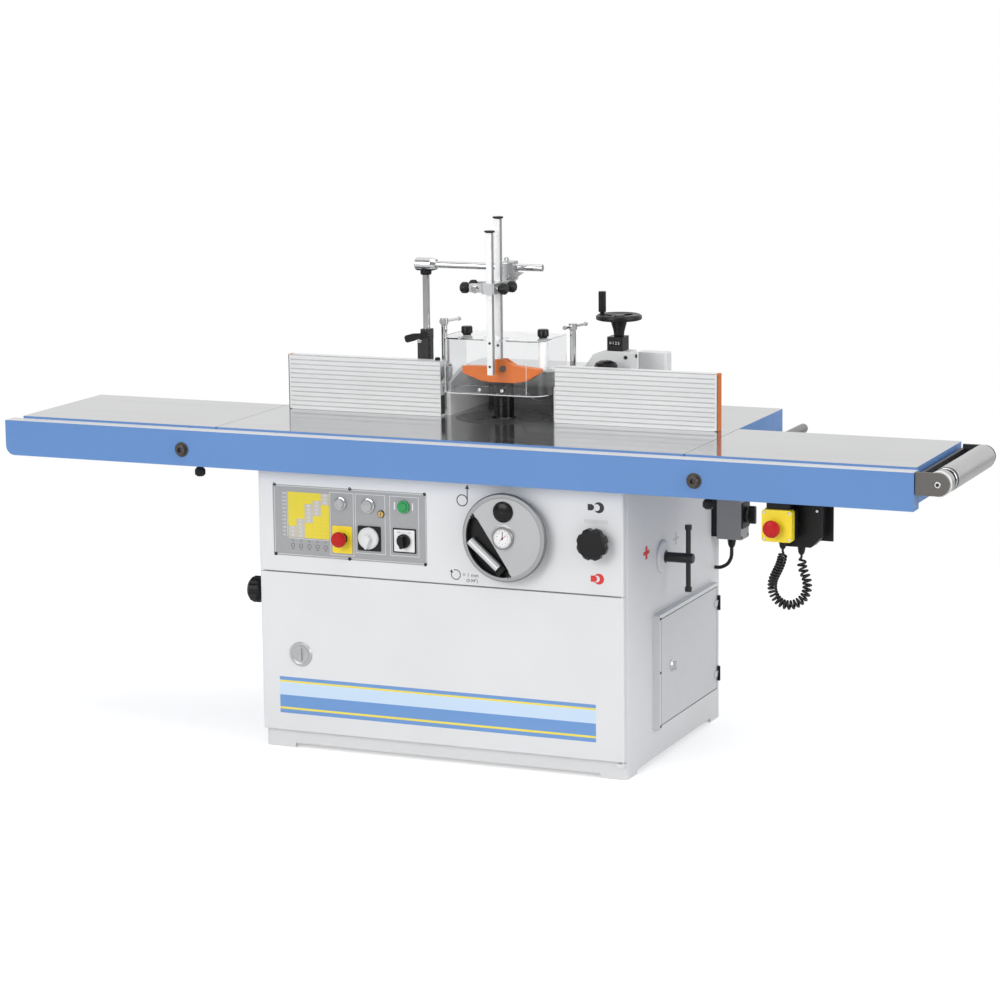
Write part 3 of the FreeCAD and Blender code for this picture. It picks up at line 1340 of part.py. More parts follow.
def pressure_clamp():
    """Cross clamp on the arm with a forward bridge for the two bars, and its hand knobs."""
    y = POST_XY[1]
    low, top = CLAMP_Z
    middle = (low + top) / 2
    left, right = HOLDER_X - 18, HOLDER_X + 18
    slider = soft_block((left + 12, right + 6), (y - 18, y + 18), (low + 25, ARM_Z + 16), 6, X_AXIS)
    drop = block((left, right), (y - 18, y + 16), (low, ARM_Z - 15))
    bridge = soft_block((left, right), (FRONT_BAR_Y - 18, y), CLAMP_Z, 5)
    plate_corners = [(right + 5, ARM_Z - 10), (63, ARM_Z - 12), (31, ARM_Z - 34)]
    plate = prism([point(x, y - 17, z) for x, z in plate_corners], Y_AXIS * 6)
    eye = tube(point(8, y - 3, ARM_Z + 20), Y_AXIS, 6, 3.2, 6)
    room = BAR_HALF + 0.3
    stubs = []
    holes = [rod(point(left - 10, y, ARM_Z), X_AXIS, POST_R + RUNNING_GAP, 100)]
    knobs = []
    for bar_y in (FRONT_BAR_Y, REAR_BAR_Y):
        stubs.append(block((left - 38, left + 1), (bar_y - 9, bar_y + 9), (low + 3, top - 3)))
        stubs.append(rod(point(left - 41, bar_y, middle), X_AXIS, 5, 4))
        stubs.append(rod(point(right - 1, bar_y, middle), X_AXIS, 6, 8))
        side_room = (HOLDER_X - room, HOLDER_X + room)
        holes.append(block(side_room, (bar_y - room, bar_y + room), (low - 1, top + 1)))
        knobs.append(lobed_knob(15, 6, 24, point(left - 41, bar_y, middle), -X_AXIS))
        knobs.append(lobed_knob(15, 6, 24, point(right + 7, bar_y, middle), X_AXIS))
    clamp = without(joined(slider, drop, bridge, plate, eye, *stubs), *holes)
    return group(clamp, *knobs)


def pressure_bar(y, low, top):
    """Square upright bar with a thin star cap."""
    cap = 6
    bar = soft_block(
        (HOLDER_X - BAR_HALF, HOLDER_X + BAR_HALF),
        (y - BAR_HALF, y + BAR_HALF),
        (low, top - cap),
        1,
    )
    return bar, lobed_knob(14, 5, cap, point(HOLDER_X, y, top - cap), Z_AXIS)


def front_pressure_bar():
    bar, cap = pressure_bar(FRONT_BAR_Y, 978, 1356)
    return group(bar, cap)


SHOE_PIVOT_XZ = (27.0, 990.0)


def rear_pressure_bar():
    """Rear bar with a lug at its foot for the shoe's cross bolt."""
    pivot_x, pivot_z = SHOE_PIVOT_XZ
    bar, cap = pressure_bar(REAR_BAR_Y, pivot_z, 1388)
    depth = (REAR_BAR_Y - BAR_HALF, REAR_BAR_Y + BAR_HALF)
    lug = soft_block((HOLDER_X - BAR_HALF, pivot_x + 11), depth, (pivot_z - 10, pivot_z + 12), 6, Y_AXIS)
    bore = rod(point(pivot_x, depth[0] - 1, pivot_z), Y_AXIS, 4 + RUNNING_GAP, 2 * BAR_HALF + 2)
    return group(joined(bar, lug).cut(bore), cap)


def pressure_shoe():
    """Boat-shaped pressure shoe with a forked fin and its cross bolt."""
    y = (REAR_BAR_Y - 14, REAR_BAR_Y + 14)
    pivot_x, pivot_z = SHOE_PIVOT_XZ
    outline = [
        (-90, 992),
        (-90, 974),
        (-36, 955),
        (-16, 953),
        (60, 953),
        (94, 960),
        (128, 981),
        (128, 991),
        (56, 998),
        (30, 1014),
        (3, 1014),
        (-10, 994),
    ]
    boat = prism([point(x, y[0], z) for x, z in outline], point(0, y[1] - y[0], 0))
    boat = boat.makeFillet(3, edges_along(boat, Y_AXIS))
    room = BAR_HALF + 0.6
    boat = boat.cut(block((-6, 44), (REAR_BAR_Y - room, REAR_BAR_Y + room), (pivot_z - 16, 1015)))
    bolt = rod(point(pivot_x, y[0] - 4, pivot_z), Y_AXIS, 4, y[1] - y[0] + 8)
    heads = [rod(point(pivot_x, end, pivot_z), Y_AXIS, 8, 5) for end in (y[0] - 5, y[1])]
    return joined(boat, bolt, *heads)


def roller_slide():
    """Pull-out frame of the roller: two arms, a cross plate, two end brackets and the axle."""
    plate_x = (RAIL_RIGHT + 2, RAIL_RIGHT + 10)
    near_y = (4, 12)
    far_y = (442, 450)
    arms = [block((905, plate_x[0] + 1), arm_y, ARM_Z_RANGE) for arm_y in ROLLER_ARM_Y]
    plate = block(plate_x, (near_y[0], far_y[1]), (790, 838))
    axle_z = TABLE_TOP - ROLLER_R - 1
    brackets = []
    for y in (near_y, far_y):
        brackets.append(block((plate_x[0], ROLLER_X), y, (axle_z - 28, axle_z + 28)))
        brackets.append(rod(point(ROLLER_X, y[0], axle_z), Y_AXIS, 28, y[1] - y[0]))
    axle = rod(point(ROLLER_X, near_y[0], axle_z), Y_AXIS, 8, far_y[1] - near_y[0])
    return joined(plate, axle, *arms, *brackets)


def roller_tube():
    """Free-turning support roller with stepped end plugs."""
    near, far = ROLLER_Y
    length = far - near
    bore = 8 + RUNNING_GAP
    wall = 4
    plug = 20
    collar, groove, groove_end = 10, 26, 32
    profile = [
        (bore, 0),
        (ROLLER_R - 4, 0),
        (ROLLER_R - 3, 1),
        (ROLLER_R - 3, collar),
        (ROLLER_R, collar),
        (ROLLER_R, groove),
        (ROLLER_R - 4, groove),
        (ROLLER_R - 4, groove_end),
        (ROLLER_R, groove_end),
        (ROLLER_R, length - 8),
        (ROLLER_R - 2, length - 6),
        (ROLLER_R - 6, length - 6),
        (ROLLER_R - 7, length),
        (bore, length),
        (bore, length - plug),
        (ROLLER_R - wall, length - plug),
        (ROLLER_R - wall, groove_end + 8),
        (bore, groove_end + 8),
    ]
    return turned(profile, point(ROLLER_X, near, TABLE_TOP - ROLLER_R - 1), Y_AXIS)


# Middle line of the curly cord, from the station's gland to the junction box's gland
CORD_ROUTE = (
    (906.0, 47.0, 630.0),
    (906.0, 47.0, 606.0),
    (893.0, 51.0, 576.0),
    (876.0, 56.0, 546.0),
    (876.0, 61.0, 511.0),
    (899.0, 66.0, 485.0),
    (931.0, 74.0, 485.0),
    (955.0, 84.0, 508.0),
    (956.0, 93.0, 543.0),
    (940.0, 99.5, 572.0),
    (937.0, 100.0, 592.0),
    (937.0, 100.0, 608.0),
)
CURL_OPENING = 1.5
CURL_RISE = 12.0


def smooth(share):
    share = min(max(share, 0.0), 1.0)
    return share * share * (3 - 2 * share)


def carried_frames(points):
    """Headings along a line of points, and a side direction carried along it without twist."""
    frames = []
    side = X_AXIS
    for index in range(len(points)):
        ahead = points[min(index + 1, len(points) - 1)]
        behind = points[max(index - 1, 0)]
        heading = (ahead - behind).normalize()
        side = (side - heading * side.dot(heading)).normalize()
        frames.append((heading, side))
    return frames


def curl_points(path):
    """Points on the curls, closer together at the start of the cord than at its end."""
    steps = 3000
    centres = path.discretize(Number=steps + 1)
    frames = carried_frames(centres)
    step = path.Length / steps
    lead_in = 2.2 * WIRE_R
    curled = path.Length - 2 * lead_in
    weights = []
    for index in range(steps):
        share = ((index + 0.5) * step - lead_in) / curled
        weights.append((CURL_OPENING + (1 - CURL_OPENING) * share) if 0 < share < 1 else 0.0)
    turn_step = 2 * math.pi * CURL_COUNT / sum(weights)
    angle = 0.0
    curve = []
    for index, (centre, (heading, side)) in enumerate(zip(centres, frames)):
        curled_before = index * step - lead_in
        curled_after = curled - curled_before
        reach = CURL_R * smooth(curled_before / CURL_RISE) * smooth(curled_after / CURL_RISE)
        across = heading.cross(side)
        curve.append((angle, centre + (side * math.cos(angle) + across * math.sin(angle)) * reach))
        if index < steps:
            angle += weights[index] * turn_step
    return curve


def biarc(start, start_heading, end, end_heading):
    """Two tangent arcs between two points with given headings."""
    span = end - start
    total = start_heading + end_heading
    spread = 2 * (1 - start_heading.dot(end_heading))
    reach = span.dot(total)
    if spread < 1e-9:
        length = span.Length / 2
    else:
        length = (math.sqrt(reach ** 2 + spread * span.dot(span)) - reach) / spread
    first_corner = start + start_heading * length
    second_corner = end - end_heading * length
    middle = (first_corner + second_corner) * 0.5
    return [arc_between(start, first_corner, middle), arc_between(middle, second_corner, end)]


def least_self_gap(points, spacing):
    """Smallest gap between stretches of the wire that are more than half a turn apart."""
    skip = int(math.pi * CURL_R / spacing)
    least = 1e9
    for index, first in enumerate(points):
        for second in points[index + skip :]:
            least = min(least, first.distanceToPoint(second))
    return least - 2 * WIRE_R


def curly_cord():
    """One unbroken wire curled along the cord's middle line, straight where it enters each gland."""
    curve = curl_points(cord_path(CORD_ROUTE))
    nodes = []
    wanted = 0.0
    for index in range(1, len(curve) - 1):
        angle, place = curve[index]
        moving = curve[index + 1][0] > angle
        if moving and angle >= wanted:
            nodes.append((place, (curve[index + 1][1] - curve[index - 1][1]).normalize()))
            wanted += math.pi / 2
    last = max(index for index in range(1, len(curve) - 1) if curve[index][0] > curve[index - 1][0])
    nodes.append((curve[last][1], (curve[last + 1][1] - curve[last][1]).normalize()))
    edges = [Part.LineSegment(curve[0][1], nodes[0][0]).toShape()]
    for (start, start_heading), (end, end_heading) in zip(nodes, nodes[1:]):
        edges += biarc(start, start_heading, end, end_heading)
    edges.append(Part.LineSegment(nodes[-1][0], curve[-1][1]).toShape())
    wire = Part.Wire(edges)
    samples = wire.discretize(Number=1400)
    print("curly cord wire length", round(wire.Length, 1))
    print("curly cord least gap", round(least_self_gap(samples, wire.Length / 1399), 2))
    cord = sweep_round(wire, WIRE_R)
    print("curly cord volume share", round(cord.Volume / (math.pi * WIRE_R ** 2 * wire.Length), 3))
    return cord


NODES = {
    "cabinet": cabinet,
    "front_panel": front_panel,
    "control_panel": control_panel,
    "panel_estop_button": panel_estop_button,
    "start_button": start_button,
    "main_switch_knob": main_switch_knob,
    "selector_knob": selector_knob,
    "front_door": front_door,
    "door_lock": door_lock,
    "side_clamp_knob": side_clamp_knob,
    "height_lock_knob": height_lock_knob,
    "tension_handle": tension_handle,
    "enclosure_box": enclosure_box,
    "enclosure_door": enclosure_door,
    "enclosure_lock": enclosure_lock,
    "switch_box": switch_box,
    "isolator_handle": isolator_handle,
    "switch_box_lead": switch_box_lead,
    "box_fittings": box_fittings,
    "estop_station_cover": estop_station_cover,
    "station_estop_button": station_estop_button,
    "junction_box": junction_box,
    "curly_cord": curly_cord,
    "main_table": main_table,
    "left_extension_table": left_extension_table,
    "right_extension_table": right_extension_table,
    "front_rail": front_rail,
    "table_rings": table_rings,
    "side_guide_rod": side_guide_rod,
    "spindle_guide": spindle_guide,
    "spindle_carriage": spindle_carriage,
    "spindle_shaft": spindle_shaft,
    "spacer_rings": spacer_rings,
    "motor": motor,
    "motor_pulley": motor_pulley,
    "drive_belt": drive_belt,
    "lift_screw": lift_screw,
    "height_handwheel": height_handwheel,
    "handwheel_grip": handwheel_grip,
    "infeed_carrier": infeed_carrier,
    "fence_lock_knob": fence_lock_knob,
    "fence_drive_housing": fence_drive_housing,
    "fence_handwheel": fence_handwheel,
    "fence_hood": fence_hood,
    "clear_guard": clear_guard,
    "pressure_bracket": pressure_bracket,
    "pressure_lever": pressure_lever,
    "pressure_post": pressure_post,
    "pressure_clamp": pressure_clamp,
    "front_pressure_bar": front_pressure_bar,
    "rear_pressure_bar": rear_pressure_bar,
    "pressure_shoe": pressure_shoe,
    "roller_slide": roller_slide,
    "roller_tube": roller_tube,
}


def save(name, shape):
    """Write one node, moved to the machine's origin."""
    solids = [solid.copy() for solid in shape.Solids]
    for solid in solids:
        solid.translate(ORIGIN_SHIFT)
    body = solids[0] if len(solids) == 1 else Part.makeCompound(solids)
    body.exportStep(f"parts/{name}.step")


def main():
    os.makedirs("parts", exist_ok=True)
    for name, make in NODES.items():
        save(name, make())
    for name, x in zip(("extension_lock_left", "extension_lock_right"), RAIL_LOCK_X):
        save(name, extension_lock(x))
    save("left_fence", fence(LEFT_FENCE_X, -1))
    save("right_fence", fence(RIGHT_FENCE_X, 1))
    for name, side in (("hood_clamp_left", -1), ("hood_clamp_right", 1)):
        save(name, hood_clamp(side))


main()
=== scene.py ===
"""Spindle moulder: finishes, printed marks, small fittings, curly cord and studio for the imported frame.

Places are in machine millimetres: X to the right of the spindle axis, Y back from the rail's face, Z up
from the floor. at() turns them into the frame's metres.
"""
import math

import bpy
from mathutils import Matrix, Vector


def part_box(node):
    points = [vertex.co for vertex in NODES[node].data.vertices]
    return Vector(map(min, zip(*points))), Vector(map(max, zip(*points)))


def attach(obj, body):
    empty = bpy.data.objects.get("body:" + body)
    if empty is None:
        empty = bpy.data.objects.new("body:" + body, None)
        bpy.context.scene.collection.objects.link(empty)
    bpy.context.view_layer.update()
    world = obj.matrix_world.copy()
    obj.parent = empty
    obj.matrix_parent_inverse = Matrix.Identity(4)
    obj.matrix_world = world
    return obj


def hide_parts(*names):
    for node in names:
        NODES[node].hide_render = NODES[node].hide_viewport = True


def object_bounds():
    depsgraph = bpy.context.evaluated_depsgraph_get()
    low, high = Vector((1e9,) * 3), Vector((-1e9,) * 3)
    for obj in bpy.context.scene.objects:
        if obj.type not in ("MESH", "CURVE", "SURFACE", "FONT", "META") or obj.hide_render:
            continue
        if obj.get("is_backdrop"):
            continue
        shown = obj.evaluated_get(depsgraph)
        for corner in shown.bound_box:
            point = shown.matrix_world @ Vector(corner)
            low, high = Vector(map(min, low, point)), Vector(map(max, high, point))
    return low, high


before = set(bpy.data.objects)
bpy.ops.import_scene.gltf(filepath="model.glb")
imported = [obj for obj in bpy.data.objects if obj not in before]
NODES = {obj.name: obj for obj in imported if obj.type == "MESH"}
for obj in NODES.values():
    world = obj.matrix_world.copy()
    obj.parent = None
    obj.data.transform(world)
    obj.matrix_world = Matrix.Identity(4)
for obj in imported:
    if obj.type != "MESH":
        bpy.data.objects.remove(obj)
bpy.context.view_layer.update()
ROOT = "machine"
MM = 0.001
SPINDLE_X = sum(corner.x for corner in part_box("spacer_rings")) / 2
RAIL_FACE_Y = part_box("front_rail")[0].y


def at(x, y, z):
    """Point of the frame in metres."""
    return Vector((SPINDLE_X + x * MM, RAIL_FACE_Y + y * MM, z * MM))


def machine(point):
    """Point of the frame back in machine millimetres."""
    return Vector(((point.x - SPINDLE_X) / MM, (point.y - RAIL_FACE_Y) / MM, point.z / MM))


def add_object(name, data):
    """Object made from its data and put into the scene."""
    made = bpy.data.objects.new(name, data)
    bpy.context.scene.collection.objects.link(made)
    return made


# Camera, at the photo's angle
YAW = math.radians(23.14)
PITCH = math.radians(10.27)
ROLL = math.radians(-0.62)
CAMERA_PLACE = Vector((3.2106, -7.5885, 2.1289))
FOCAL_LENGTH = 113.72
SENSOR_WIDTH = 36
FAR_CLIP = 100

forward = Vector((-math.sin(YAW) * math.cos(PITCH), math.cos(YAW) * math.cos(PITCH), -math.sin(PITCH)))
level = Vector((math.cos(YAW), math.sin(YAW), 0))
upward = level.cross(forward)
sideways = math.cos(ROLL) * level + math.sin(ROLL) * upward
overhead = math.cos(ROLL) * upward - math.sin(ROLL) * level
camera_data = bpy.data.cameras.new("camera")
camera_data.sensor_width = SENSOR_WIDTH
camera_data.lens = FOCAL_LENGTH
camera_data.clip_end = FAR_CLIP
camera = add_object("camera", camera_data)
camera_turn = Matrix((sideways, overhead, -forward)).transposed().to_4x4()
camera.matrix_world = Matrix.Translation(CAMERA_PLACE) @ camera_turn
bpy.context.scene.camera = camera


# Shader helpers, for the finishes and the studio
def remapped(tree, value, from_range, to_range):
    """Number moved from one range to another and held at its ends."""
    remap = tree.nodes.new("ShaderNodeMapRange")
    for end, amount in zip(("Min", "Max"), from_range):
        remap.inputs["From " + end].default_value = amount
    for end, amount in zip(("Min", "Max"), to_range):
        remap.inputs["To " + end].default_value = amount
    tree.links.new(value, remap.inputs["Value"])
    return remap.outputs["Result"]


def combined(tree, operation, first, second):
    """Two numbers put together by a Math node."""
    maths = tree.nodes.new("ShaderNodeMath")
    maths.operation = operation
    tree.links.new(first, maths.inputs[0])
    tree.links.new(second, maths.inputs[1])
    return maths.outputs["Value"]


def colour_mix(tree, share, second_colour):
    """Node that goes from its A colour to a second colour."""
    mix = tree.nodes.new("ShaderNodeMix")
    mix.data_type = "RGBA"
    mix.inputs["B"].default_value = (*second_colour, 1)
    tree.links.new(share, mix.inputs["Factor"])
    return mix


def mixed_shader(tree, share, first, second):
    """Shader that goes from a first to a second one."""
    blend = tree.nodes.new("ShaderNodeMixShader")
    tree.links.new(share, blend.inputs["Fac"])
    tree.links.new(first, blend.inputs[1])
    tree.links.new(second, blend.inputs[2])
    return blend.outputs["Shader"]


# Materials
EVEN = (1, 1, 1)
NOISE_RANGE = (0.3, 0.7)
CLOUDS_PER_METRE = 3.1
SMEARS_PER_METRE = 19
CHIPS_PER_METRE = 45
EDGE_FACING = (0.985, 0.8)
EDGE_SAMPLES = 4
COAT_ROUGHNESS = 0.12
RELIEF_STRENGTH = 0.35
CLEAR_IOR = 1.3
SHADOW_OF_CLEAR = 0.06


def surface(
    name,
    slot,
    colour,
    rough,
    metal=0.0,
    tone=0.06,
    speckle=0.03,
    rough_spread=0.06,
    grain=900.0,
    grain_depth=0.02,
    stretch=EVEN,
    edge=0.4,
    edge_wear_and_highlight=0.0,
    edge_wear_and_highlight_colour=(0.6, 0.6, 0.6),
    coat=0.0,
    specular=0.5,
    higher_up=None,
):
    """Opaque finish: cloudy tone, fine speckle, uneven gloss, grain relief, softened edges that are scuffed
    and carry a painted highlight.

    grain is in features per metre, grain_depth and edge in millimetres. higher_up is a second
    colour that takes over between two heights in metres, used for painted shade low down and pale higher
    up.
    """
    material = bpy.data.materials.new(name)
    material.use_nodes = True
    tree = material.node_tree
    nodes = tree.nodes
    link = tree.links.new
    shader = nodes["Principled BSDF"]
    place = nodes.new("ShaderNodeTexCoord").outputs["Object"]

    def noise(scale, detail, drawn_out=EVEN):
        texture = nodes.new("ShaderNodeTexNoise")
        texture.inputs["Scale"].default_value = scale
        texture.inputs["Detail"].default_value = detail
        source = place
        if drawn_out != EVEN:
            mapping = nodes.new("ShaderNodeMapping")
            mapping.inputs["Scale"].default_value = drawn_out
            link(place, mapping.inputs["Vector"])
            source = mapping.outputs["Vector"]
        link(source, texture.inputs["Vector"])
        return texture.outputs["Fac"]

    def spread(value, low, high):
        return remapped(tree, value, NOISE_RANGE, (low, high))

    grit = noise(grain, 2, stretch)
    cloud = spread(noise(CLOUDS_PER_METRE, 3), 1 - tone, 1 + tone)
    tint = nodes.new("ShaderNodeVectorMath")
    tint.operation = "SCALE"
    tint.inputs[0].default_value = colour
    if higher_up:
        second_colour, low, high = higher_up
        height = nodes.new("ShaderNodeSeparateXYZ")
        link(place, height.inputs["Vector"])
        climb = remapped(tree, height.outputs["Z"], (low, high), (0, 1))
        change = colour_mix(tree, climb, second_colour)
        change.inputs["A"].default_value = (*colour, 1)
        link(change.outputs["Result"], tint.inputs[0])
    shade = combined(tree, "MULTIPLY", cloud, spread(grit, 1 - speckle, 1 + speckle))
    link(shade, tint.inputs["Scale"])
    base = tint.outputs["Vector"]
    rounded = nodes.new("ShaderNodeBevel")
    rounded.samples = EDGE_SAMPLES
    rounded.inputs["Radius"].default_value = edge * MM
    # Edges turn towards a paler colour: scuffs, and also a painted highlight along them.
    if edge_wear_and_highlight:
        facing = nodes.new("ShaderNodeVectorMath")
        facing.operation = "DOT_PRODUCT"
        link(rounded.outputs["Normal"], facing.inputs[0])
        link(nodes.new("ShaderNodeNewGeometry").outputs["Normal"], facing.inputs[1])
        edge_wear_and_highlight_share = remapped(tree, facing.outputs["Value"], EDGE_FACING, (0, edge_wear_and_highlight))
        chips = spread(noise(CHIPS_PER_METRE, 4), 0, 1)
        edge_wear_and_highlight_mix = colour_mix(tree, combined(tree, "MULTIPLY", edge_wear_and_highlight_share, chips), edge_wear_and_highlight_colour)
        link(base, edge_wear_and_highlight_mix.inputs["A"])
        base = edge_wear_and_highlight_mix.outputs["Result"]
    link(base, shader.inputs["Base Color"])
    shader.inputs["Specular IOR Level"].default_value = specular
    shader.inputs["Metallic"].default_value = metal
    shader.inputs["Coat Weight"].default_value = coat
    shader.inputs["Coat Roughness"].default_value = COAT_ROUGHNESS
    gloss = spread(noise(SMEARS_PER_METRE, 5, stretch), rough - rough_spread, rough + rough_spread)
    link(gloss, shader.inputs["Roughness"])
    relief = nodes.new("ShaderNodeBump")
    relief.inputs["Strength"].default_value = RELIEF_STRENGTH
    relief.inputs["Distance"].default_value = grain_depth * MM
    link(grit, relief.inputs["Height"])
    link(rounded.outputs["Normal"], relief.inputs["Normal"])
    link(relief.outputs["Normal"], shader.inputs["Normal"])
    return material


def clear_plastic(name, slot, colour, rough):
    """See-through finish with faint smears, which lets the lamps shine in."""
    material = surface(name, slot, colour, rough, tone=0.01, speckle=0.0, rough_spread=0.015, edge=0.3)
    tree = material.node_tree
    shader = tree.nodes["Principled BSDF"]
    shader.inputs["Transmission Weight"].default_value = 1.0
    shader.inputs["IOR"].default_value = CLEAR_IOR
    shadow_ray = tree.nodes.new("ShaderNodeLightPath").outputs["Is Shadow Ray"]
    tree.links.new(remapped(tree, shadow_ray, (0, 1), (1, SHADOW_OF_CLEAR)), shader.inputs["Alpha"])
    return material


POWDER = dict(grain=650, grain_depth=0.05, tone=0.025, speckle=0.012, edge=1.0)
BRUSHED = dict(stretch=(0.03, 1, 1), grain=1500, grain_depth=0.012, edge=0.5)
DRAWN_UP = dict(stretch=(1, 1, 0.03), edge=0.6)
CAST = dict(grain=420, grain_depth=0.1)
LATHE = dict(grain=1300, edge=0.4)
RIM = dict(tone=0.04, grain=1400, edge=0.4)
MOULDED = dict(grain=700, grain_depth=0.03, edge=1.2)
SMOOTH = dict(grain_depth=0.01)
# Paler edge colours: scuffs, and also painted highlight.
BLUE_EDGE_WEAR_AND_HIGHLIGHT = dict(edge_wear_and_highlight=0.3, edge_wear_and_highlight_colour=(0.3, 0.42, 0.62))
BLACK_EDGE_WEAR_AND_HIGHLIGHT = dict(edge_wear_and_highlight=0.25, edge_wear_and_highlight_colour=(0.05, 0.05, 0.052))
METAL_EDGE_WEAR_AND_HIGHLIGHT = dict(edge_wear_and_highlight=0.4, edge_wear_and_highlight_colour=(0.12, 0.12, 0.12))
BOLT_EDGE_WEAR_AND_HIGHLIGHT = dict(edge_wear_and_highlight=0.5, edge_wear_and_highlight_colour=(0.26, 0.25, 0.24))

CABINET = surface("cabinet_powder_coat", "cabinet_paint", (0.72, 0.725, 0.735), 0.42, **POWDER)
DOOR_GREY = surface("enclosure_powder_coat", "cabinet_paint", (0.62, 0.625, 0.64), 0.42, **POWDER)
HOUSING = surface("housing_paint", "cabinet_paint", (0.7, 0.705, 0.71), 0.4, **POWDER)
BLUE = surface("rail_paint", "rail_blue", (0.111, 0.246, 0.537), 0.36, **BLUE_EDGE_WEAR_AND_HIGHLIGHT, **POWDER)
CONTROL = surface("control_plate_paint", "control_grey", (0.345, 0.35, 0.36), 0.45, **POWDER)
GROUND = surface(
    "ground_table_top", "table_iron", (0.415, 0.418, 0.424), 0.12, 0.92, tone=0.03, speckle=0.025,
    rough_spread=0.035, stretch=(0.02, 1, 1), grain=1200, grain_depth=0.004, edge=0.6,
)
TURNED_RING = surface(
    "turned_ring", "ring_iron", (0.16, 0.162, 0.165), 0.3, 0.85, speckle=0.05, grain=700, edge=0.5,
)
FENCE = surface("fence_aluminium", "aluminium", (0.77, 0.775, 0.78), 0.4, 0.2, tone=0.025, **BRUSHED)
# Darker copy of the fence aluminium: painted shade inside the fence grooves.
FENCE_GROOVE_PAINTED_SHADE = surface("fence_groove_painted_shade", "aluminium", (0.62, 0.624, 0.63), 0.5, 0.2, tone=0.03, **BRUSHED)
BAR_METAL = surface(
    "bar_aluminium", "aluminium", (0.86, 0.865, 0.87), 0.36, 0.3, tone=0.03, grain=1500, grain_depth=0.012,
    **DRAWN_UP,
)
# Darker copy of the bar aluminium: painted shade on the bars' right sides.
BAR_SIDE_PAINTED_SHADE = surface("bar_side_painted_shade", "aluminium", (0.34, 0.343, 0.35), 0.4, 0.4, tone=0.04, **DRAWN_UP)
SATIN = surface("satin_disc", "aluminium", (0.5, 0.504, 0.51), 0.34, 0.6, tone=0.04, grain=1400, edge=0.8)
TUBE_METAL = surface(
    "roller_steel", "steel", (0.45, 0.45, 0.455), 0.33, 0.8, tone=0.05, stretch=(1, 0.03, 1), edge=0.5,
)
CHROME = surface(
    "chrome", "chrome", (0.68, 0.685, 0.695), 0.12, 1.0, tone=0.03, speckle=0.0, rough_spread=0.03,
)
STEEL = surface("turned_steel", "steel", (0.5, 0.5, 0.505), 0.27, 0.9, **LATHE)
ROD_STEEL = surface("grey_rod", "steel", (0.2, 0.2, 0.205), 0.34, 0.7, **LATHE)
IRON = surface("cast_iron", "carriage_iron", (0.14, 0.142, 0.148), 0.55, 0.5, tone=0.12, edge=1.0, **CAST)
HOOD = surface("hood_casting", "cabinet_paint", (0.74, 0.745, 0.75), 0.45, tone=0.05, edge=1.2, **CAST)
# Inside of the hood: painted shade, dark below about 0.9 m and pale above, standing in for the shade inside
# the hood.
HOOD_INSIDE_PAINTED_SHADE = surface(
    "hood_inside_painted_shade", "carriage_iron", (0.075, 0.075, 0.078), 0.5, tone=0.12,
    higher_up=((0.8, 0.805, 0.81), 0.895, 0.93), **CAST,
)
# Handwheel rim and lip: darker copies of the satin disc, painted shade on the faces that turn away from the
# front.
RIM_PAINTED_SHADE = surface("wheel_rim_painted_shade", "aluminium", (0.2, 0.202, 0.206), 0.42, 0.6, **RIM)
LIP_PAINTED_SHADE = surface("wheel_lip_painted_shade", "aluminium", (0.36, 0.363, 0.37), 0.6, 0.2, **RIM)
BRACKET_GREY = surface("bracket_grey", "black_metal", (0.125, 0.118, 0.11), 0.5, 0.1, grain=700, edge=0.6)
BEZEL = surface("gauge_bezel", "chrome", (0.3, 0.302, 0.306), 0.3, 0.7, tone=0.04)
GRIP_METAL = surface("grip_metal", "chrome", (0.7, 0.705, 0.71), 0.3, 0.75, tone=0.03, edge=0.6)
BLACK = surface(
    "black_plastic", "black_plastic", (0.011, 0.011, 0.012), 0.34, tone=0.12, grain=800, grain_depth=0.03,
    edge=0.8, specular=0.25, **BLACK_EDGE_WEAR_AND_HIGHLIGHT,
)
GLOSS_BLACK = surface(
    "gloss_black", "black_plastic", (0.009, 0.009, 0.01), 0.22, tone=0.08, grain_depth=0.004, edge=0.6,
    specular=0.25,
)
BLACK_METAL = surface(
    "blackened_metal", "black_metal", (0.026, 0.026, 0.028), 0.38, 0.3, tone=0.15, grain=700,
    grain_depth=0.03, edge=0.6, **METAL_EDGE_WEAR_AND_HIGHLIGHT,
)
OXIDE = surface(
    "oxide_bolt", "black_metal", (0.085, 0.075, 0.068), 0.36, 0.6, tone=0.12, edge=0.5, **BOLT_EDGE_WEAR_AND_HIGHLIGHT,
)
RED = surface(
    "red_button", "red_plastic", (0.47, 0.009, 0.009), 0.3, tone=0.05, edge=0.5, specular=0.3, **SMOOTH,
)
GREEN = surface(
    "green_button", "green_plastic", (0.02, 0.3, 0.085), 0.28, tone=0.05, edge=0.5, coat=0.2, **SMOOTH,
)
YELLOW = surface("yellow_cover", "yellow_plastic", (0.88, 0.68, 0.02), 0.33, tone=0.05, **MOULDED)
ORANGE = surface("orange_shoe", "orange_plastic", (0.64, 0.137, 0.008), 0.38, specular=0.3, **MOULDED)
SWITCH_GREY = surface(
    "switch_box_plastic", "grey_plastic", (0.27, 0.274, 0.28), 0.42, grain_depth=0.03, edge=1.2,
)
WHITE_KNOB = surface(
    "pale_knob", "grey_plastic", (0.68, 0.685, 0.69), 0.25, tone=0.03, edge=0.8, coat=0.2, **SMOOTH,
)
WHITE = surface("white_plastic", "grey_plastic", (0.8, 0.8, 0.8), 0.35, tone=0.02, edge=0.3, **SMOOTH)
BRASS = surface("key_brass", "steel", (0.62, 0.44, 0.16), 0.28, 0.9, edge=0.3)
CABLE = surface(
    "cable_sheath", "cable_black", (0.011, 0.011, 0.012), 0.26, tone=0.08, edge=0.2, specular=0.4, **SMOOTH,
)
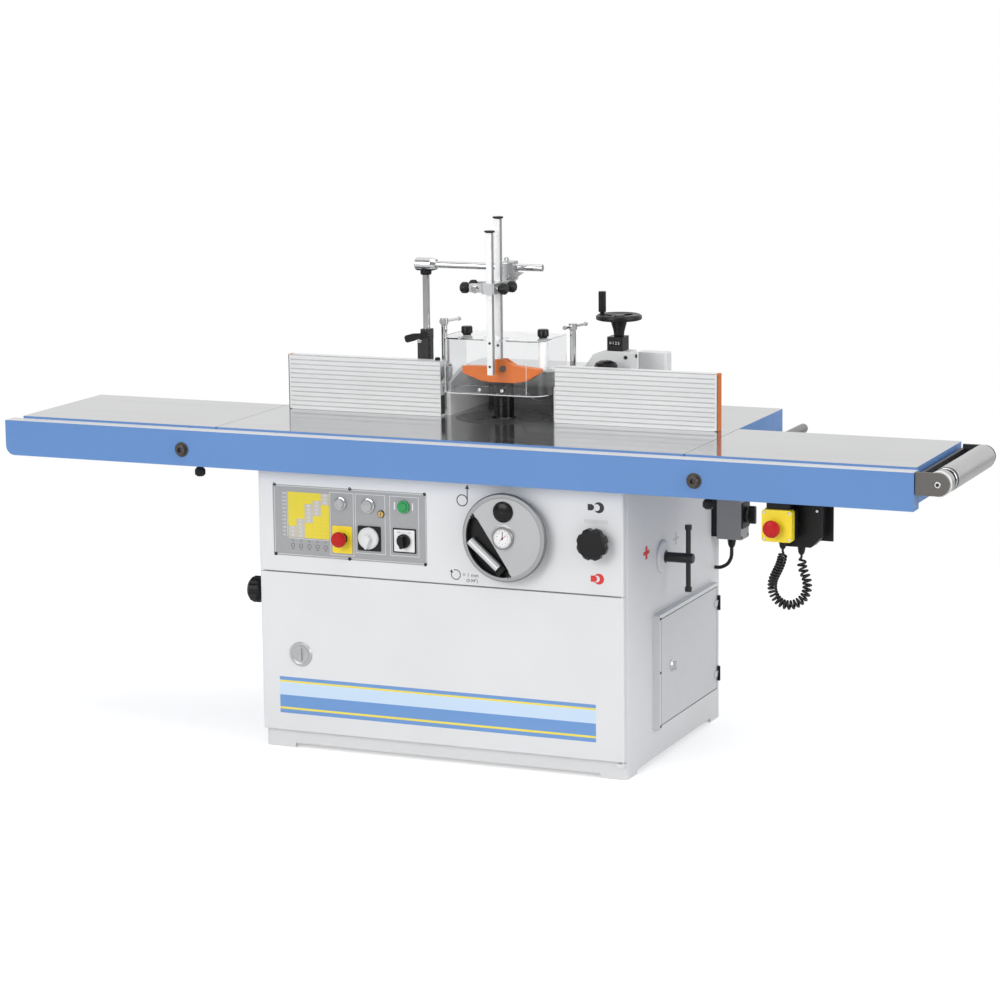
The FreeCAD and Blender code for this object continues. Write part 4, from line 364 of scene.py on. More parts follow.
CLEAR = clear_plastic("clear_acrylic", "clear_guard", (0.86, 0.87, 0.875), 0.03)
# Frosted acrylic of the guard's column, used also for the painted highlight along the guard's edge.
FROSTED_AND_EDGE_HIGHLIGHT = surface(
    "frosted_acrylic_and_edge_highlight", "clear_guard", (0.88, 0.885, 0.885), 0.2, tone=0.02, edge=0.6, **SMOOTH,
)
LENS = surface("lamp_lens", "clear_guard", (0.4, 0.41, 0.41), 0.1, tone=0.03, edge=0.6, coat=0.6, **SMOOTH)


def print_ink(name, slot, colour):
    """Thin printed colour on the sheet metal."""
    return surface(name, slot, colour, 0.4, tone=0.03, speckle=0.03, grain=650, grain_depth=0.03, edge=0.1)


INK_BLACK = print_ink("ink_black", "black_plastic", (0.02, 0.02, 0.022))
# Dark lines: real seams and gaps between parts, and painted shadow along the recess of the control plate.
DARK_JOINT_AND_PAINTED_SHADE = print_ink("dark_joint_and_painted_shade", "black_plastic", (0.07, 0.07, 0.072))
INK_AMBER = print_ink("ink_amber", "yellow_plastic", (0.8, 0.5, 0.03))
INK_RED = print_ink("ink_red", "red_plastic", (0.66, 0.03, 0.03))
INK_WHITE = print_ink("ink_white", "grey_plastic", (0.78, 0.78, 0.78))
INK_GREY = print_ink("ink_grey", "grey_plastic", (0.5, 0.5, 0.51))
INK_PALE = print_ink("ink_pale", "grey_plastic", (0.64, 0.64, 0.645))
INK_YELLOW = print_ink("ink_yellow", "yellow_plastic", (0.74, 0.62, 0.04))
STRIPE_BLUE = print_ink("stripe_blue", "rail_blue", (0.15, 0.31, 0.62))
STRIPE_PALE = print_ink("stripe_pale", "rail_blue", (0.56, 0.7, 0.86))
STRIPE_YELLOW = print_ink("stripe_yellow", "yellow_plastic", (0.85, 0.72, 0.1))


# Shapes drawn on flat sides of the machine
ROUND = 48
SHARP_ANGLE = math.radians(35)


class Plane:
    """Flat side to draw on: right and up along it, out away from it."""

    def __init__(self, origin, right, up):
        self.origin = Vector(origin)
        self.right = Vector(right)
        self.up = Vector(up)
        self.out = self.right.cross(self.up)

    def place(self, right, up, out):
        return at(*(self.origin + self.right * right + self.up * up + self.out * out))


def front(y):
    return Plane((0, y, 0), (1, 0, 0), (0, 0, 1))


def right_side(x):
    return Plane((x, 0, 0), (0, 1, 0), (0, 0, 1))


def level_top(z):
    return Plane((0, 0, z), (1, 0, 0), (0, 1, 0))


def polar(centre, radius, angle):
    """Point at a distance and an angle from a centre."""
    return centre[0] + radius * math.cos(angle), centre[1] + radius * math.sin(angle)


def circle(centre, radius):
    return [polar(centre, radius, 2 * math.pi * k / ROUND) for k in range(ROUND)]


def hexagon(centre, radius):
    """Six-sided outline with as many points as a circle."""
    points = []
    for k in range(ROUND):
        angle = 2 * math.pi * k / ROUND
        reach = radius * math.cos(math.pi / 6) / math.cos((angle % (math.pi / 3)) - math.pi / 6)
        points.append(polar(centre, reach, angle))
    return points


def rounded_box(right, up, radius, inset=0.0, steps=6):
    """Rectangle outline with round corners, drawn in by an inset."""
    corner = max(radius - inset, 0.01)
    points = []
    for index, (side, rise) in enumerate(((1, 1), (0, 1), (0, 0), (1, 0))):
        middle = (
            (right[1] - inset - corner) if side else (right[0] + inset + corner),
            (up[1] - inset - corner) if rise else (up[0] + inset + corner),
        )
        for step in range(steps + 1):
            angle = math.pi / 2 * (index + step / steps)
            points.append(polar(middle, corner, angle))
    return points


def mesh_of(curve):
    """Mesh of a curve, which is then removed."""
    holder = add_object(curve.name, curve)
    bpy.context.view_layer.update()
    mesh = bpy.data.meshes.new_from_object(holder)
    bpy.data.objects.remove(holder)
    bpy.data.curves.remove(curve)
    return mesh


class Shape:
    """Vertices and faces of one piece."""

    def __init__(self):
        self.points = []
        self.faces = []

    def skin(self, plane, layers):
        """Closed skin through outlines of equal length, each given with its height off the plane."""
        start = len(self.points)
        count = len(layers[0][0])
        for outline, out in layers:
            self.points += [plane.place(right, up, out) for right, up in outline]
        for row in range(len(layers) - 1):
            for k in range(count):
                near = start + row * count + k
                far = start + row * count + (k + 1) % count
                self.faces.append((near, far, far + count, near + count))
        last = start + (len(layers) - 1) * count
        self.faces.append(tuple(reversed(range(start, start + count))))
        self.faces.append(tuple(range(last, last + count)))
        return self

    def turned(self, plane, centre, profile):
        """Round piece from (radius, height) points that go from the plane outwards."""
        return self.skin(plane, [(circle(centre, radius), out) for radius, out in profile])

    def slab(self, plane, right, up, low, high, radius=0.5, chamfer=0.0):
        edge = [(rounded_box(right, up, radius), low), (rounded_box(right, up, radius), high - chamfer)]
        if chamfer:
            edge.append((rounded_box(right, up, radius, chamfer), high))
        return self.skin(plane, edge)

    def polygon(self, plane, corners, low, high):
        return self.skin(plane, [(corners, low), (corners, high)])

    def line(self, plane, start, end, width, low, high):
        run = Vector((end[0] - start[0], end[1] - start[1])).normalized() * (width / 2)
        corners = [
            (start[0] + run.y, start[1] - run.x),
            (end[0] + run.y, end[1] - run.x),
            (end[0] - run.y, end[1] + run.x),
            (start[0] - run.y, start[1] + run.x),
        ]
        return self.polygon(plane, corners, low, high)

    def arc(self, plane, centre, inner, outer, begin, end, low, high):
        """Part of a flat ring between two angles in degrees."""
        steps = max(8, int(abs(end - begin) / 7.5))
        turns = [math.radians(begin + (end - begin) * k / steps) for k in range(steps + 1)]
        rim = [polar(centre, outer, turn) for turn in turns]
        bore = [polar(centre, inner, turn) for turn in reversed(turns)]
        return self.polygon(plane, rim + bore, low, high)

    def hoop(self, plane, centre, inner, outer, low, high):
        """Flat ring, as two halves that meet."""
        self.arc(plane, centre, inner, outer, 0, 180, low, high)
        return self.arc(plane, centre, inner, outer, 180, 360, low, high)

    def frame(self, plane, right, up, width, low, high):
        """Four lines round a rectangle."""
        self.slab(plane, right, (up[0], up[0] + width), low, high, 0.2)
        self.slab(plane, right, (up[1] - width, up[1]), low, high, 0.2)
        sides = (up[0] + width, up[1] - width)
        self.slab(plane, (right[0], right[0] + width), sides, low, high, 0.2)
        return self.slab(plane, (right[1] - width, right[1]), sides, low, high, 0.2)

    def socketed(self, plane, centre, profile, socket, floor):
        """Round head from (radius, height) points, with a hexagon socket down to a floor."""
        layers = [(circle(centre, radius), out) for radius, out in profile]
        layers += [(hexagon(centre, socket), out) for out in (profile[-1][1], floor)]
        return self.skin(plane, layers)

    def socket_screw(self, plane, centre, radius, height, socket):
        """Screw head with a hexagon socket."""
        chamfer = 0.12 * radius
        profile = [(radius, 0), (radius, height - chamfer), (radius - chamfer, height)]
        return self.socketed(plane, centre, profile, socket, 0.45 * height)

    def hex_head(self, plane, centre, radius, low, height):
        """Hexagon bolt head with a domed top."""
        layers = [(hexagon(centre, radius), out) for out in (low, low + 0.8 * height)]
        return self.skin(plane, [*layers, (circle(centre, 0.84 * radius), low + height)])

    def washer(self, plane, centre, inner, outer, low, high):
        """Washer with a softened rim."""
        soft = 0.3 * (high - low)
        rim = [(outer, low), (outer, high - soft), (outer - soft, high)]
        return self.turned(plane, centre, [(inner, low), *rim, (inner, high)])

    def ring(self, plane, centre, inner, outer, low, high, soft=0.6):
        """Round piece with a hole right through it."""
        profile = [
            (inner, low),
            (outer - soft, low),
            (outer, low + soft),
            (outer, high - soft),
            (outer - soft, high),
            (inner, high),
        ]
        start = len(self.points)
        for radius, out in profile:
            self.points += [plane.place(right, up, out) for right, up in circle(centre, radius)]
        for row in range(len(profile)):
            near = start + row * ROUND
            far = start + (row + 1) % len(profile) * ROUND
            for k in range(ROUND):
                after = (k + 1) % ROUND
                self.faces.append((near + k, near + after, far + after, far + k))
        return self

    def text(self, plane, words, centre, height, out):
        """Flat lettering, centred on a point."""
        curve = bpy.data.curves.new("lettering", "FONT")
        curve.body = words
        curve.size = height * 1.4
        curve.align_x = "CENTER"
        curve.align_y = "CENTER"
        curve.extrude = 0.1
        curve.resolution_u = 3
        mesh = mesh_of(curve)
        start = len(self.points)
        for vertex in mesh.vertices:
            right, up, rise = vertex.co
            self.points.append(plane.place(centre[0] + right, centre[1] + up, out + rise))
        for face in mesh.polygons:
            self.faces.append(tuple(start + index for index in face.vertices))
        bpy.data.meshes.remove(mesh)
        return self

    def piece(self, name, material, body=ROOT):
        """Make the object, riding on a body."""
        mesh = bpy.data.meshes.new(name)
        mesh.from_pydata(self.points, [], self.faces)
        mesh.shade_smooth()
        mesh.set_sharp_from_angle(angle=SHARP_ANGLE)
        mesh.materials.append(material)
        made = add_object(name, mesh)
        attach(made, body)
        return made


def paint(node, base, *others):
    """Finish of a CAD node, with other finishes on the faces that a test on place and normal picks out."""
    mesh = NODES[node].data
    mesh.materials.clear()
    mesh.materials.append(base)
    for material, _ in others:
        mesh.materials.append(material)
    for face in mesh.polygons:
        face.material_index = 0
        place = machine(face.center)
        for index, (_, test) in enumerate(others, 1):
            if test(place, face.normal):
                face.material_index = index


def near(first, second, x, z, radius):
    """True within a radius of a point on a plane."""
    return math.hypot(first - x, second - z) < radius


def screws(name, material, plane, centres, radius, height, socket, body=ROOT):
    """Socket screws on one plane, as one piece."""
    group = Shape()
    for centre in centres:
        group.socket_screw(plane, centre, radius, height, socket)
    group.piece(name, material, body)


# Curly cord from the emergency-stop station to the junction box
CORD_ROUTE = (
    (0.871, -0.3605, 0.630),
    (0.871, -0.3605, 0.606),
    (0.858, -0.3565, 0.576),
    (0.841, -0.3515, 0.546),
    (0.841, -0.3465, 0.511),
    (0.864, -0.3415, 0.485),
    (0.896, -0.3335, 0.485),
    (0.920, -0.3235, 0.508),
    (0.921, -0.3145, 0.543),
    (0.905, -0.3080, 0.572),
    (0.902, -0.3075, 0.592),
    (0.902, -0.3075, 0.608),
)
WIRE_RADIUS = 0.003
CURL_RADIUS = 0.0095
CURLS = 32
CURL_OPENING = 1.85
CURL_RISE = 0.012
LEAD_IN = 2.2 * WIRE_RADIUS
CORD_STEPS = 1000


def smooth_curve(name, points, resolution):
    """Curve along points, held to both ends."""
    curve = bpy.data.curves.new(name, "CURVE")
    curve.dimensions = "3D"
    curve.resolution_u = resolution
    spline = curve.splines.new("NURBS")
    spline.points.add(len(points) - 1)
    for knot, place in zip(spline.points, points):
        knot.co = (*place, 1)
    spline.order_u = 3
    spline.use_endpoint_u = True
    return curve


def route_points():
    """Points along the smooth route, read off a curve."""
    mesh = mesh_of(smooth_curve("cord_route", CORD_ROUTE, 40))
    points = [vertex.co.copy() for vertex in mesh.vertices]
    bpy.data.meshes.remove(mesh)
    return points


def evenly(points, steps):
    """Points at even steps along a line, and its length."""
    reached = [0.0]
    for first, second in zip(points, points[1:]):
        reached.append(reached[-1] + (second - first).length)
    found = []
    index = 0
    for step in range(steps + 1):
        goal = reached[-1] * step / steps
        while index < len(points) - 2 and reached[index + 1] < goal:
            index += 1
        share = (goal - reached[index]) / max(reached[index + 1] - reached[index], 1e-9)
        found.append(points[index].lerp(points[index + 1], share))
    return found, reached[-1]


def curly_cord():
    """Helix wound round the route, straight at both ends and more open towards the far end."""
    line, length = evenly(route_points(), CORD_STEPS)
    coil = length - 2 * LEAD_IN
    rises = []
    rates = []
    for step in range(CORD_STEPS + 1):
        reach = length * step / CORD_STEPS - LEAD_IN
        rise = min(max(min(reach, coil - reach) / CURL_RISE, 0), 1)
        rises.append(rise * rise * (3 - 2 * rise))
        rates.append(rise / (1 + (CURL_OPENING - 1) * reach / coil))
    all_rates = sum(rates)
    side = Vector((1, 0, 0))
    wound = []
    turn = 0.0
    for step, place in enumerate(line):
        ahead = line[min(step + 1, CORD_STEPS)] - line[max(step - 1, 0)]
        ahead.normalize()
        side = (side - ahead * side.dot(ahead)).normalized()
        other = ahead.cross(side)
        radius = CURL_RADIUS * rises[step]
        wound.append(place + radius * (math.cos(turn) * side + math.sin(turn) * other))
        turn += 2 * math.pi * CURLS * rates[step] / all_rates
    curve = smooth_curve("curly_cord_wire", wound, 2)
    curve.bevel_depth = WIRE_RADIUS
    curve.bevel_resolution = 5
    curve.use_fill_caps = True
    curve.materials.append(CABLE)
    cord = add_object("curly_cord_wire", curve)
    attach(cord, ROOT)
    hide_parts("curly_cord")


curly_cord()


# Finishes of the CAD nodes: first the nodes with one finish
PLAIN_FINISHES = (
    (CABINET, "cabinet front_panel front_door"),
    (BLUE, "front_rail"),
    (TURNED_RING, "table_rings"),
    (ROD_STEEL, "side_guide_rod"),
    (IRON, "spindle_guide spindle_carriage motor motor_pulley"),
    (CABLE, "drive_belt switch_box_lead curly_cord"),
    (STEEL, "spindle_shaft lift_screw"),
    (GLOSS_BLACK, "spacer_rings fence_lock_knob"),
    (RED, "panel_estop_button station_estop_button"),
    (GREEN, "start_button"),
    (WHITE_KNOB, "main_switch_knob"),
    (BLACK, "selector_knob height_lock_knob side_clamp_knob isolator_handle box_fittings junction_box"),
    (BLACK, "extension_lock_left extension_lock_right fence_handwheel pressure_lever"),
    (SATIN, "door_lock"),
    (CHROME, "enclosure_lock hood_clamp_left hood_clamp_right"),
    (HOUSING, "infeed_carrier"),
    (BLACK_METAL, "pressure_bracket"),
    (CLEAR, "clear_guard"),
    (TUBE_METAL, "roller_tube"),
)
for material, plain_nodes in PLAIN_FINISHES:
    for node in plain_nodes.split():
        paint(node, material)

TABLE_TOP = 850
ON_TOP = (GROUND, lambda place, normal: normal.z > 0.7 and place.z > TABLE_TOP - 1)
for node in ("main_table", "left_extension_table", "right_extension_table"):
    paint(node, BLUE, ON_TOP)

ENCLOSURE_FACE = 512
ENCLOSURE_HINGE_Y = 690
SWITCH_FACE = 577
STATION_FACE = 12
TENSION_HUB = (320, 531, 14)
TENSION_PLATE_X = 503


def on_enclosure_hinge(place, normal):
    return place.x > ENCLOSURE_FACE + 0.8 and place.y > ENCLOSURE_HINGE_Y


def on_tension_plate(place, normal):
    """True on the plate behind the tension handle, outside its hub."""
    return place.x < TENSION_PLATE_X and not near(place.y, place.z, *TENSION_HUB)


paint("enclosure_box", CABINET, (BLACK, lambda place, normal: place.x > ENCLOSURE_FACE + 1))
paint("enclosure_door", DOOR_GREY, (BLACK, on_enclosure_hinge))
paint("tension_handle", BLACK_METAL, (CABINET, on_tension_plate))
paint("switch_box", SWITCH_GREY, (BLACK, lambda place, normal: place.x > SWITCH_FACE + 0.5))
paint("estop_station_cover", YELLOW, (BLACK, lambda place, normal: place.y < STATION_FACE - 0.2))

CONTROL_FACE = 51
PANEL_FACE = 49
TALLEST = 99
ESTOP = (-290, 576, 16)
START = (-113.5, 670, 17)
LAMPS = ((-293, 668, 16.8), (-214, 667, 18.8))
KEY_ROUND = (-178, 647, 10)
KEY_BARREL = (-178, 647, 8)


def raised(low, high, *rounds):
    """Test for faces between two heights off the control panel, inside given circles."""

    def test(place, normal):
        if not low < CONTROL_FACE - place.y < high:
            return False
        return any(near(place.x, place.z, *one) for one in rounds)

    return test


paint(
    "control_panel",
    CONTROL,
    (CHROME, raised(0.1, 6.6, *LAMPS)),
    (LENS, raised(6.6, TALLEST, *LAMPS)),
    (BLACK, raised(0.1, TALLEST, ESTOP)),
    (GREEN, raised(0.1, TALLEST, START)),
    (BLACK, raised(0.1, TALLEST, KEY_ROUND)),
    (BRASS, raised(4.5, TALLEST, KEY_BARREL)),
)

WHEEL = (179, 614)
WHEEL_CAP = (179, 681)
POCKET_SLANT = math.radians(213.3)
POCKET_CHORD = 35
POCKET_R = 103


def from_hub(place):
    """Distance from the handwheel's axis."""
    return math.hypot(place.x - WHEEL[0], place.z - WHEEL[1])


def in_pocket(place, spare):
    """True beyond the chord of the handwheel's grip pocket, inside its rim."""
    right, up = place.x - WHEEL[0], place.z - WHEEL[1]
    reach = right * math.cos(POCKET_SLANT) + up * math.sin(POCKET_SLANT)
    return reach > POCKET_CHORD - spare and from_hub(place) < POCKET_R + spare


paint(
    "height_handwheel",
    SATIN,
    # Lip and rim faces, picked by their slant: painted shade.
    (LIP_PAINTED_SHADE, lambda place, normal: abs(normal.y) < 0.985 and from_hub(place) >= 100.2),
    (RIM_PAINTED_SHADE, lambda place, normal: abs(normal.y) < 0.9 and from_hub(place) >= POCKET_R + 1),
    (BLACK, lambda place, normal: 13.8 < place.y < 34 and in_pocket(place, 0.5)),
    (BLACK, lambda place, normal: 12.5 < place.y < 34 and in_pocket(place, -0.3)),
    (BEZEL, lambda place, normal: place.y < 11.9 and from_hub(place) < 29.5),
    (WHITE, lambda place, normal: 5 < place.y < 5.9 and normal.y < -0.9 and from_hub(place) < 24.1),
    (GLOSS_BLACK, lambda place, normal: place.y < 13.3 and near(place.x, place.z, *WHEEL_CAP, 27.5)),
)
GRIP_HINGE = (55, 67)
GRIP_TIP = (84, -36)
GRIP_Y = 18


def on_wheel(out, along):
    """Point of the handwheel's face, from its reach towards the pocket and along the chord."""
    right = out * math.cos(POCKET_SLANT) - along * math.sin(POCKET_SLANT)
    up = out * math.sin(POCKET_SLANT) + along * math.cos(POCKET_SLANT)
    return WHEEL[0] + right, WHEEL[1] + up


GRIP_START = Vector(on_wheel(*GRIP_HINGE))
GRIP_END = Vector(on_wheel(*GRIP_TIP))
paint("handwheel_grip", GRIP_METAL, (BLACK, lambda place, normal: near(place.x, place.z, *GRIP_START, 15)))

FENCE_FACE = 400
FENCE_CAPS_X = (-604.9, 606.9)


# Faces inside the fence grooves, which get painted shade.
def in_groove(place, normal):
    return 0.1 < place.y - FENCE_FACE < 2.5 and abs(normal.x) < 0.5


def on_fence_cap(place, normal):
    """True on the coloured outer ends of the fences, apart from their faces."""
    return normal.y > -0.7 and not FENCE_CAPS_X[0] <= place.x <= FENCE_CAPS_X[1]


for node in ("left_fence", "right_fence"):
    paint(node, FENCE, (FENCE_GROOVE_PAINTED_SHADE, in_groove), (ORANGE, on_fence_cap))


HOOD_HALF_WIDTH = 149
HOOD_REAR = 600
HOUSING_TOP = 1029


def in_hood(place, normal):
    """True on the rear wall, the roof and the right wall of the hood as seen from the cutter, which get
    painted shade.
    """
    if abs(place.x) > HOOD_HALF_WIDTH or place.z < TABLE_TOP + 0.5:
        return False
    return normal.y < -0.7 and place.y > HOOD_REAR or normal.z < -0.7 or normal.x < -0.7


paint("fence_hood", HOOD, (HOOD_INSIDE_PAINTED_SHADE, in_hood))
paint("fence_drive_housing", HOUSING, (BLACK, lambda place, normal: place.z > HOUSING_TOP + 0.1))

POST = (-225, 455, 11)
COLLAR_TOP = 1238
CLAMP_FRONT = 420
CLAMP_SIDES = (-48.9, 34.9)
SHOE_Y = 396
SHOE_HALF = 14
ARM_CAP = (12.5, 1249)
BAR_TOPS = (("front_pressure_bar", 1350.1), ("rear_pressure_bar", 1382.1))


def on_collar(place, normal):
    """True on the black nut under the head of the post."""
    return place.z < COLLAR_TOP and not near(place.x, place.y, *POST)


def on_arm_cap(place, normal):
    """True on the near bracket of the roller."""
    return place.y < ARM_CAP[0] and place.x > ARM_CAP[1]


def on_clamp_knob(place, normal):
    return place.y < CLAMP_FRONT and not CLAMP_SIDES[0] <= place.x <= CLAMP_SIDES[1]


paint("pressure_post", CHROME, (BLACK, on_collar))
paint("pressure_clamp", SATIN, (BLACK, on_clamp_knob))
# Right-facing sides of the pressure bars: painted shade.
ON_BAR_SHADED_SIDE = (BAR_SIDE_PAINTED_SHADE, lambda place, normal: normal.x > 0.7)
for node, top in BAR_TOPS:
    paint(node, BAR_METAL, ON_BAR_SHADED_SIDE, (BLACK, lambda place, normal: place.z > top))
paint("pressure_shoe", ORANGE, (OXIDE, lambda place, normal: abs(place.y - SHOE_Y) > SHOE_HALF + 0.1))
paint("roller_slide", BLACK_METAL, (BRACKET_GREY, on_arm_cap))

# Rail: two bolts with washers, the bare strip along its top and the plug in its end
RAIL = front(0)
RAIL_TOP = 844
RAIL_ENDS = (-1264, 1246)
rail_bolts = Shape()
for centre in ((-728, 793), (693, 793)):
    rail_bolts.washer(RAIL, centre, 8, 19.5, 0, 2.5)
    rail_bolts.socketed(RAIL, centre, [(13.5, 2), (13.5, 10), (11.5, 12)], 7.5, 5)
rail_bolts.piece("rail_bolts", OXIDE)
rail_top = Shape().slab(level_top(RAIL_TOP), (RAIL_ENDS[0] + 2, RAIL_ENDS[1] - 2), (1.5, 45.5), 0, 0.4, 0.5)
rail_top.piece("rail_top_strip", INK_PALE)
rail_end = Shape().slab(right_side(RAIL_ENDS[1]), (5, 41), (755, 839), -3, -0.4, 1)
rail_end.piece("rail_end_plug", BLUE)

# Joints between the main table and the extensions
seams = Shape()
for x in (-650, 650):
    seams.line(level_top(TABLE_TOP), (x, 46.5), (x, 460.5), 1.2, 0.02, 0.06)
seams.piece("table_seams", DARK_JOINT_AND_PAINTED_SHADE)

# Control panel: plates, frames, chart and screws
PLATE = front(CONTROL_FACE)
CONTROL_SCREWS = ((-484, 707.5), (-54, 706.5), (-484, 522.5), (-54, 522.5), (-266, 707.5), (-270, 522.5))
screws("control_screws", BLACK_METAL, PLATE, CONTROL_SCREWS, 4.4, 2.6, 2.2)
Shape().slab(PLATE, (-319, -262), (536, 608), 0, 1.2, 4, 0.4).piece("estop_plate", YELLOW)
plates = Shape().slab(PLATE, (-245, -180), (548, 613), 0, 3.6, 3, 0.8)
plates.slab(PLATE, (-145, -80), (549, 613), 0, 2.4, 2, 0.5)
plates.piece("switch_plates", BLACK)
selector_face = Shape().slab(PLATE, (-141.5, -83.5), (552.5, 609.5), 2.2, 3.4, 1.5, 0.3)
selector_face.piece("selector_face", WHITE)
CONTROL_X = (-493, -45)
CONTROL_Z = (516, 712)
# Dark frame round the control plate: painted shadow of the shallow recess it sits in.
Shape().frame(PLATE, CONTROL_X, CONTROL_Z, 2.6, 0, 0.2).piece("control_gap_painted_shadow", DARK_JOINT_AND_PAINTED_SHADE)
BORDER = 7
border_x = (CONTROL_X[0] + BORDER, CONTROL_X[1] - BORDER)
border_z = (CONTROL_Z[0] + BORDER, CONTROL_Z[1] - BORDER)
frames = Shape().frame(PLATE, border_x, border_z, 1.1, 0, 0.15)
for sides, low in (((-252, -167), 540), ((-154, -72), 540), ((-325, -257), 530)):
    frames.frame(PLATE, sides, (low, 696), 1.1, 0, 0.25)
frames.slab(PLATE, (-141.5, -137.5), (661, 681), 0, 0.6, 1)
frames.slab(PLATE, (-90.5, -87.5), (661, 681), 0, 0.6, 1)
frames.piece("control_frames", INK_WHITE)
switch_marks = Shape().text(PLATE, "0", (-212.5, 610), 4, 3.7)
switch_marks.text(PLATE, "1", (-184, 580.5), 4, 3.7)
switch_marks.piece("switch_numbers", INK_WHITE)
selector_words = Shape().text(PLATE, "OFF", (-128, 602.5), 3.6, 3.4)
selector_words.text(PLATE, "ON", (-97, 602.5), 3.6, 3.4)
selector_words.piece("selector_words", INK_BLACK)
# Black line on the key barrel: painted shade in the key slot.
key_slot_painted_shade = Shape().slab(front(46), (-178.8, -177.2), (642.5, 651.5), 0, 0.3, 0.6)
key_slot_painted_shade.piece("key_slot_painted_shade", INK_BLACK)

CHART_X = (-446, -327)
CHART_Z = (570, 690)
CHART_ROWS = 12
GREY_ROWS = ((0, 3), (0, 5), (4, 9), (6, 10), (9, 12))
chart = Shape().slab(PLATE, CHART_X, CHART_Z, 0, 0.4, 1)
chart.piece("chart_ground", INK_YELLOW)
cells = Shape()
figures = Shape()
pale_figures = Shape()
column_width = (CHART_X[1] - CHART_X[0]) / len(GREY_ROWS)
row_height = (CHART_Z[1] - CHART_Z[0]) / CHART_ROWS
for column, (low_row, high_row) in enumerate(GREY_ROWS):
    left = CHART_X[0] + column * column_width
    sides = (left + 0.5, left + column_width - 0.5)
    for row in range(low_row, high_row):
        low = CHART_Z[0] + row * row_height
        middle = (left + column_width / 2, low + row_height / 2)
        cells.slab(PLATE, sides, (low + 0.4, low + row_height - 0.4), 0.3, 0.55, 0.4)
        pale_figures.text(PLATE, str(18 + 6 * row + 9 * column), middle, 5.2, 0.62)
grid = Shape()
for row in range(CHART_ROWS):
    height = CHART_Z[0] + row * row_height
    label = (CHART_X[0] - 12, height + row_height / 2)
    pale_figures.text(PLATE, str(60 + 20 * row), label, 5.2, 0.12)
    grid.line(PLATE, (CHART_X[0], height), (CHART_X[1], height), 0.5, 0.35, 0.45)
for column in range(1, len(GREY_ROWS)):
    right = CHART_X[0] + column * column_width
    grid.line(PLATE, (right, CHART_Z[0]), (right, CHART_Z[1]), 0.5, 0.35, 0.45)
grid.piece("chart_grid", INK_AMBER)
for column in range(len(GREY_ROWS)):
    middle = CHART_X[0] + (column + 0.5) * column_width
    figures.text(PLATE, str(3 + column), (middle, CHART_Z[0] - 9), 5.5, 0.12)
    figures.hoop(PLATE, (middle, CHART_Z[0] - 22), 4.4, 5.4, 0, 0.2)
    figures.line(PLATE, (middle - 4, CHART_Z[0] - 31), (middle + 4, CHART_Z[0] - 31), 1, 0, 0.2)
cells.piece("chart_cells", INK_GREY)
figures.piece("chart_figures", INK_BLACK)
pale_figures.piece("chart_pale_figures", INK_WHITE)
marks = Shape()
marks.line(PLATE, (CHART_X[0], CHART_Z[0] - 3), (CHART_X[1], CHART_Z[0] - 3), 1, 0, 0.2)
marks.line(PLATE, (CHART_X[0] - 3, CHART_Z[0]), (CHART_X[0] - 3, CHART_Z[1]), 1, 0, 0.2)
marks.piece("chart_axes", INK_WHITE)

# Front panel: direction marks and lock marks
PANEL = front(PANEL_FACE)
INK = 0.25
panel_marks = Shape()
panel_marks.hoop(PANEL, (51, 697), 13, 15.6, 0, INK)
panel_marks.line(PANEL, (65.3, 697), (65.3, 728), 2.6, 0, INK)
panel_marks.polygon(PANEL, [(59.3, 727), (71.3, 727), (65.3, 739)], 0, INK)
panel_marks.arc(PANEL, (31, 503), 11.5, 13.6, 155, 475, 0, INK)
panel_marks.polygon(PANEL, [(14, 509.5), (23.5, 507), (19.5, 516)], 0, INK)
panel_marks.text(PANEL, "= 1 mm", (72, 504), 10, INK - 0.1)
panel_marks.text(PANEL, "(0.04\")", (76, 490), 8.5, INK - 0.1)


def lock_mark(shape, centre, gap):
    """Clamp mark: a plug beside a bitten disc, apart or together."""
    x, z = centre
    nose = x - 3 - gap
    lower = [(nose - 17, z - 8), (nose - 6, z - 8), (nose, z - 4)]
    plug = lower + [(right, 2 * z - up) for right, up in reversed(lower)]
    shape.polygon(PANEL, plug, 0, INK)
    disc = (x + 7, z)
    mouth = [math.radians(turn) for turn in range(-140, 141, 10)]
    rim = [polar(disc, 14, turn) for turn in mouth]
    bite = [polar((x + 1, z), 8.6, turn) for turn in reversed(mouth)]
    shape.polygon(PANEL, rim + bite, 0, INK)


lock_mark(panel_marks, (417, 701), 3)
panel_marks.piece("panel_marks", INK_BLACK)
red_mark = Shape()
lock_mark(red_mark, (416, 519), -5)
red_mark.piece("panel_lock_mark", INK_RED)
Shape().slab(PANEL, (384, 449), (660, 670), 0, INK, 2).piece("panel_strip", INK_PALE)

# Handwheel gauge
DIAL = front(5.5)
dial_ticks = Shape()
for step in range(50):
    angle = math.radians(7.2 * step)
    inner = 20 if step % 5 else 18.4
    start = polar(WHEEL, inner, angle)
    end = polar(WHEEL, 22.4, angle)
    dial_ticks.line(DIAL, start, end, 0.35 if step % 5 else 0.7, 0, 0.15)
for number in range(10):
    angle = math.radians(90 - 36 * number)
    centre = polar(WHEEL, 15, angle)
    dial_ticks.text(DIAL, str(number), centre, 3.6, 0.1)
dial_ticks.piece("gauge_scale", INK_BLACK, "height_handwheel")
hands = Shape().line(DIAL, (WHEEL[0], WHEEL[1] - 4), (WHEEL[0] + 1, WHEEL[1] + 17), 1.7, 0.2, 0.6)
hands.turned(DIAL, WHEEL, [(2.6, 0), (2.6, 0.7), (1.4, 1.1)])
hands.piece("gauge_hand", INK_BLACK, "height_handwheel")
red_hand = Shape().line(DIAL, (WHEEL[0] - 7, WHEEL[1] - 7), (WHEEL[0] + 11, WHEEL[1] + 9), 1.5, 0.15, 0.45)
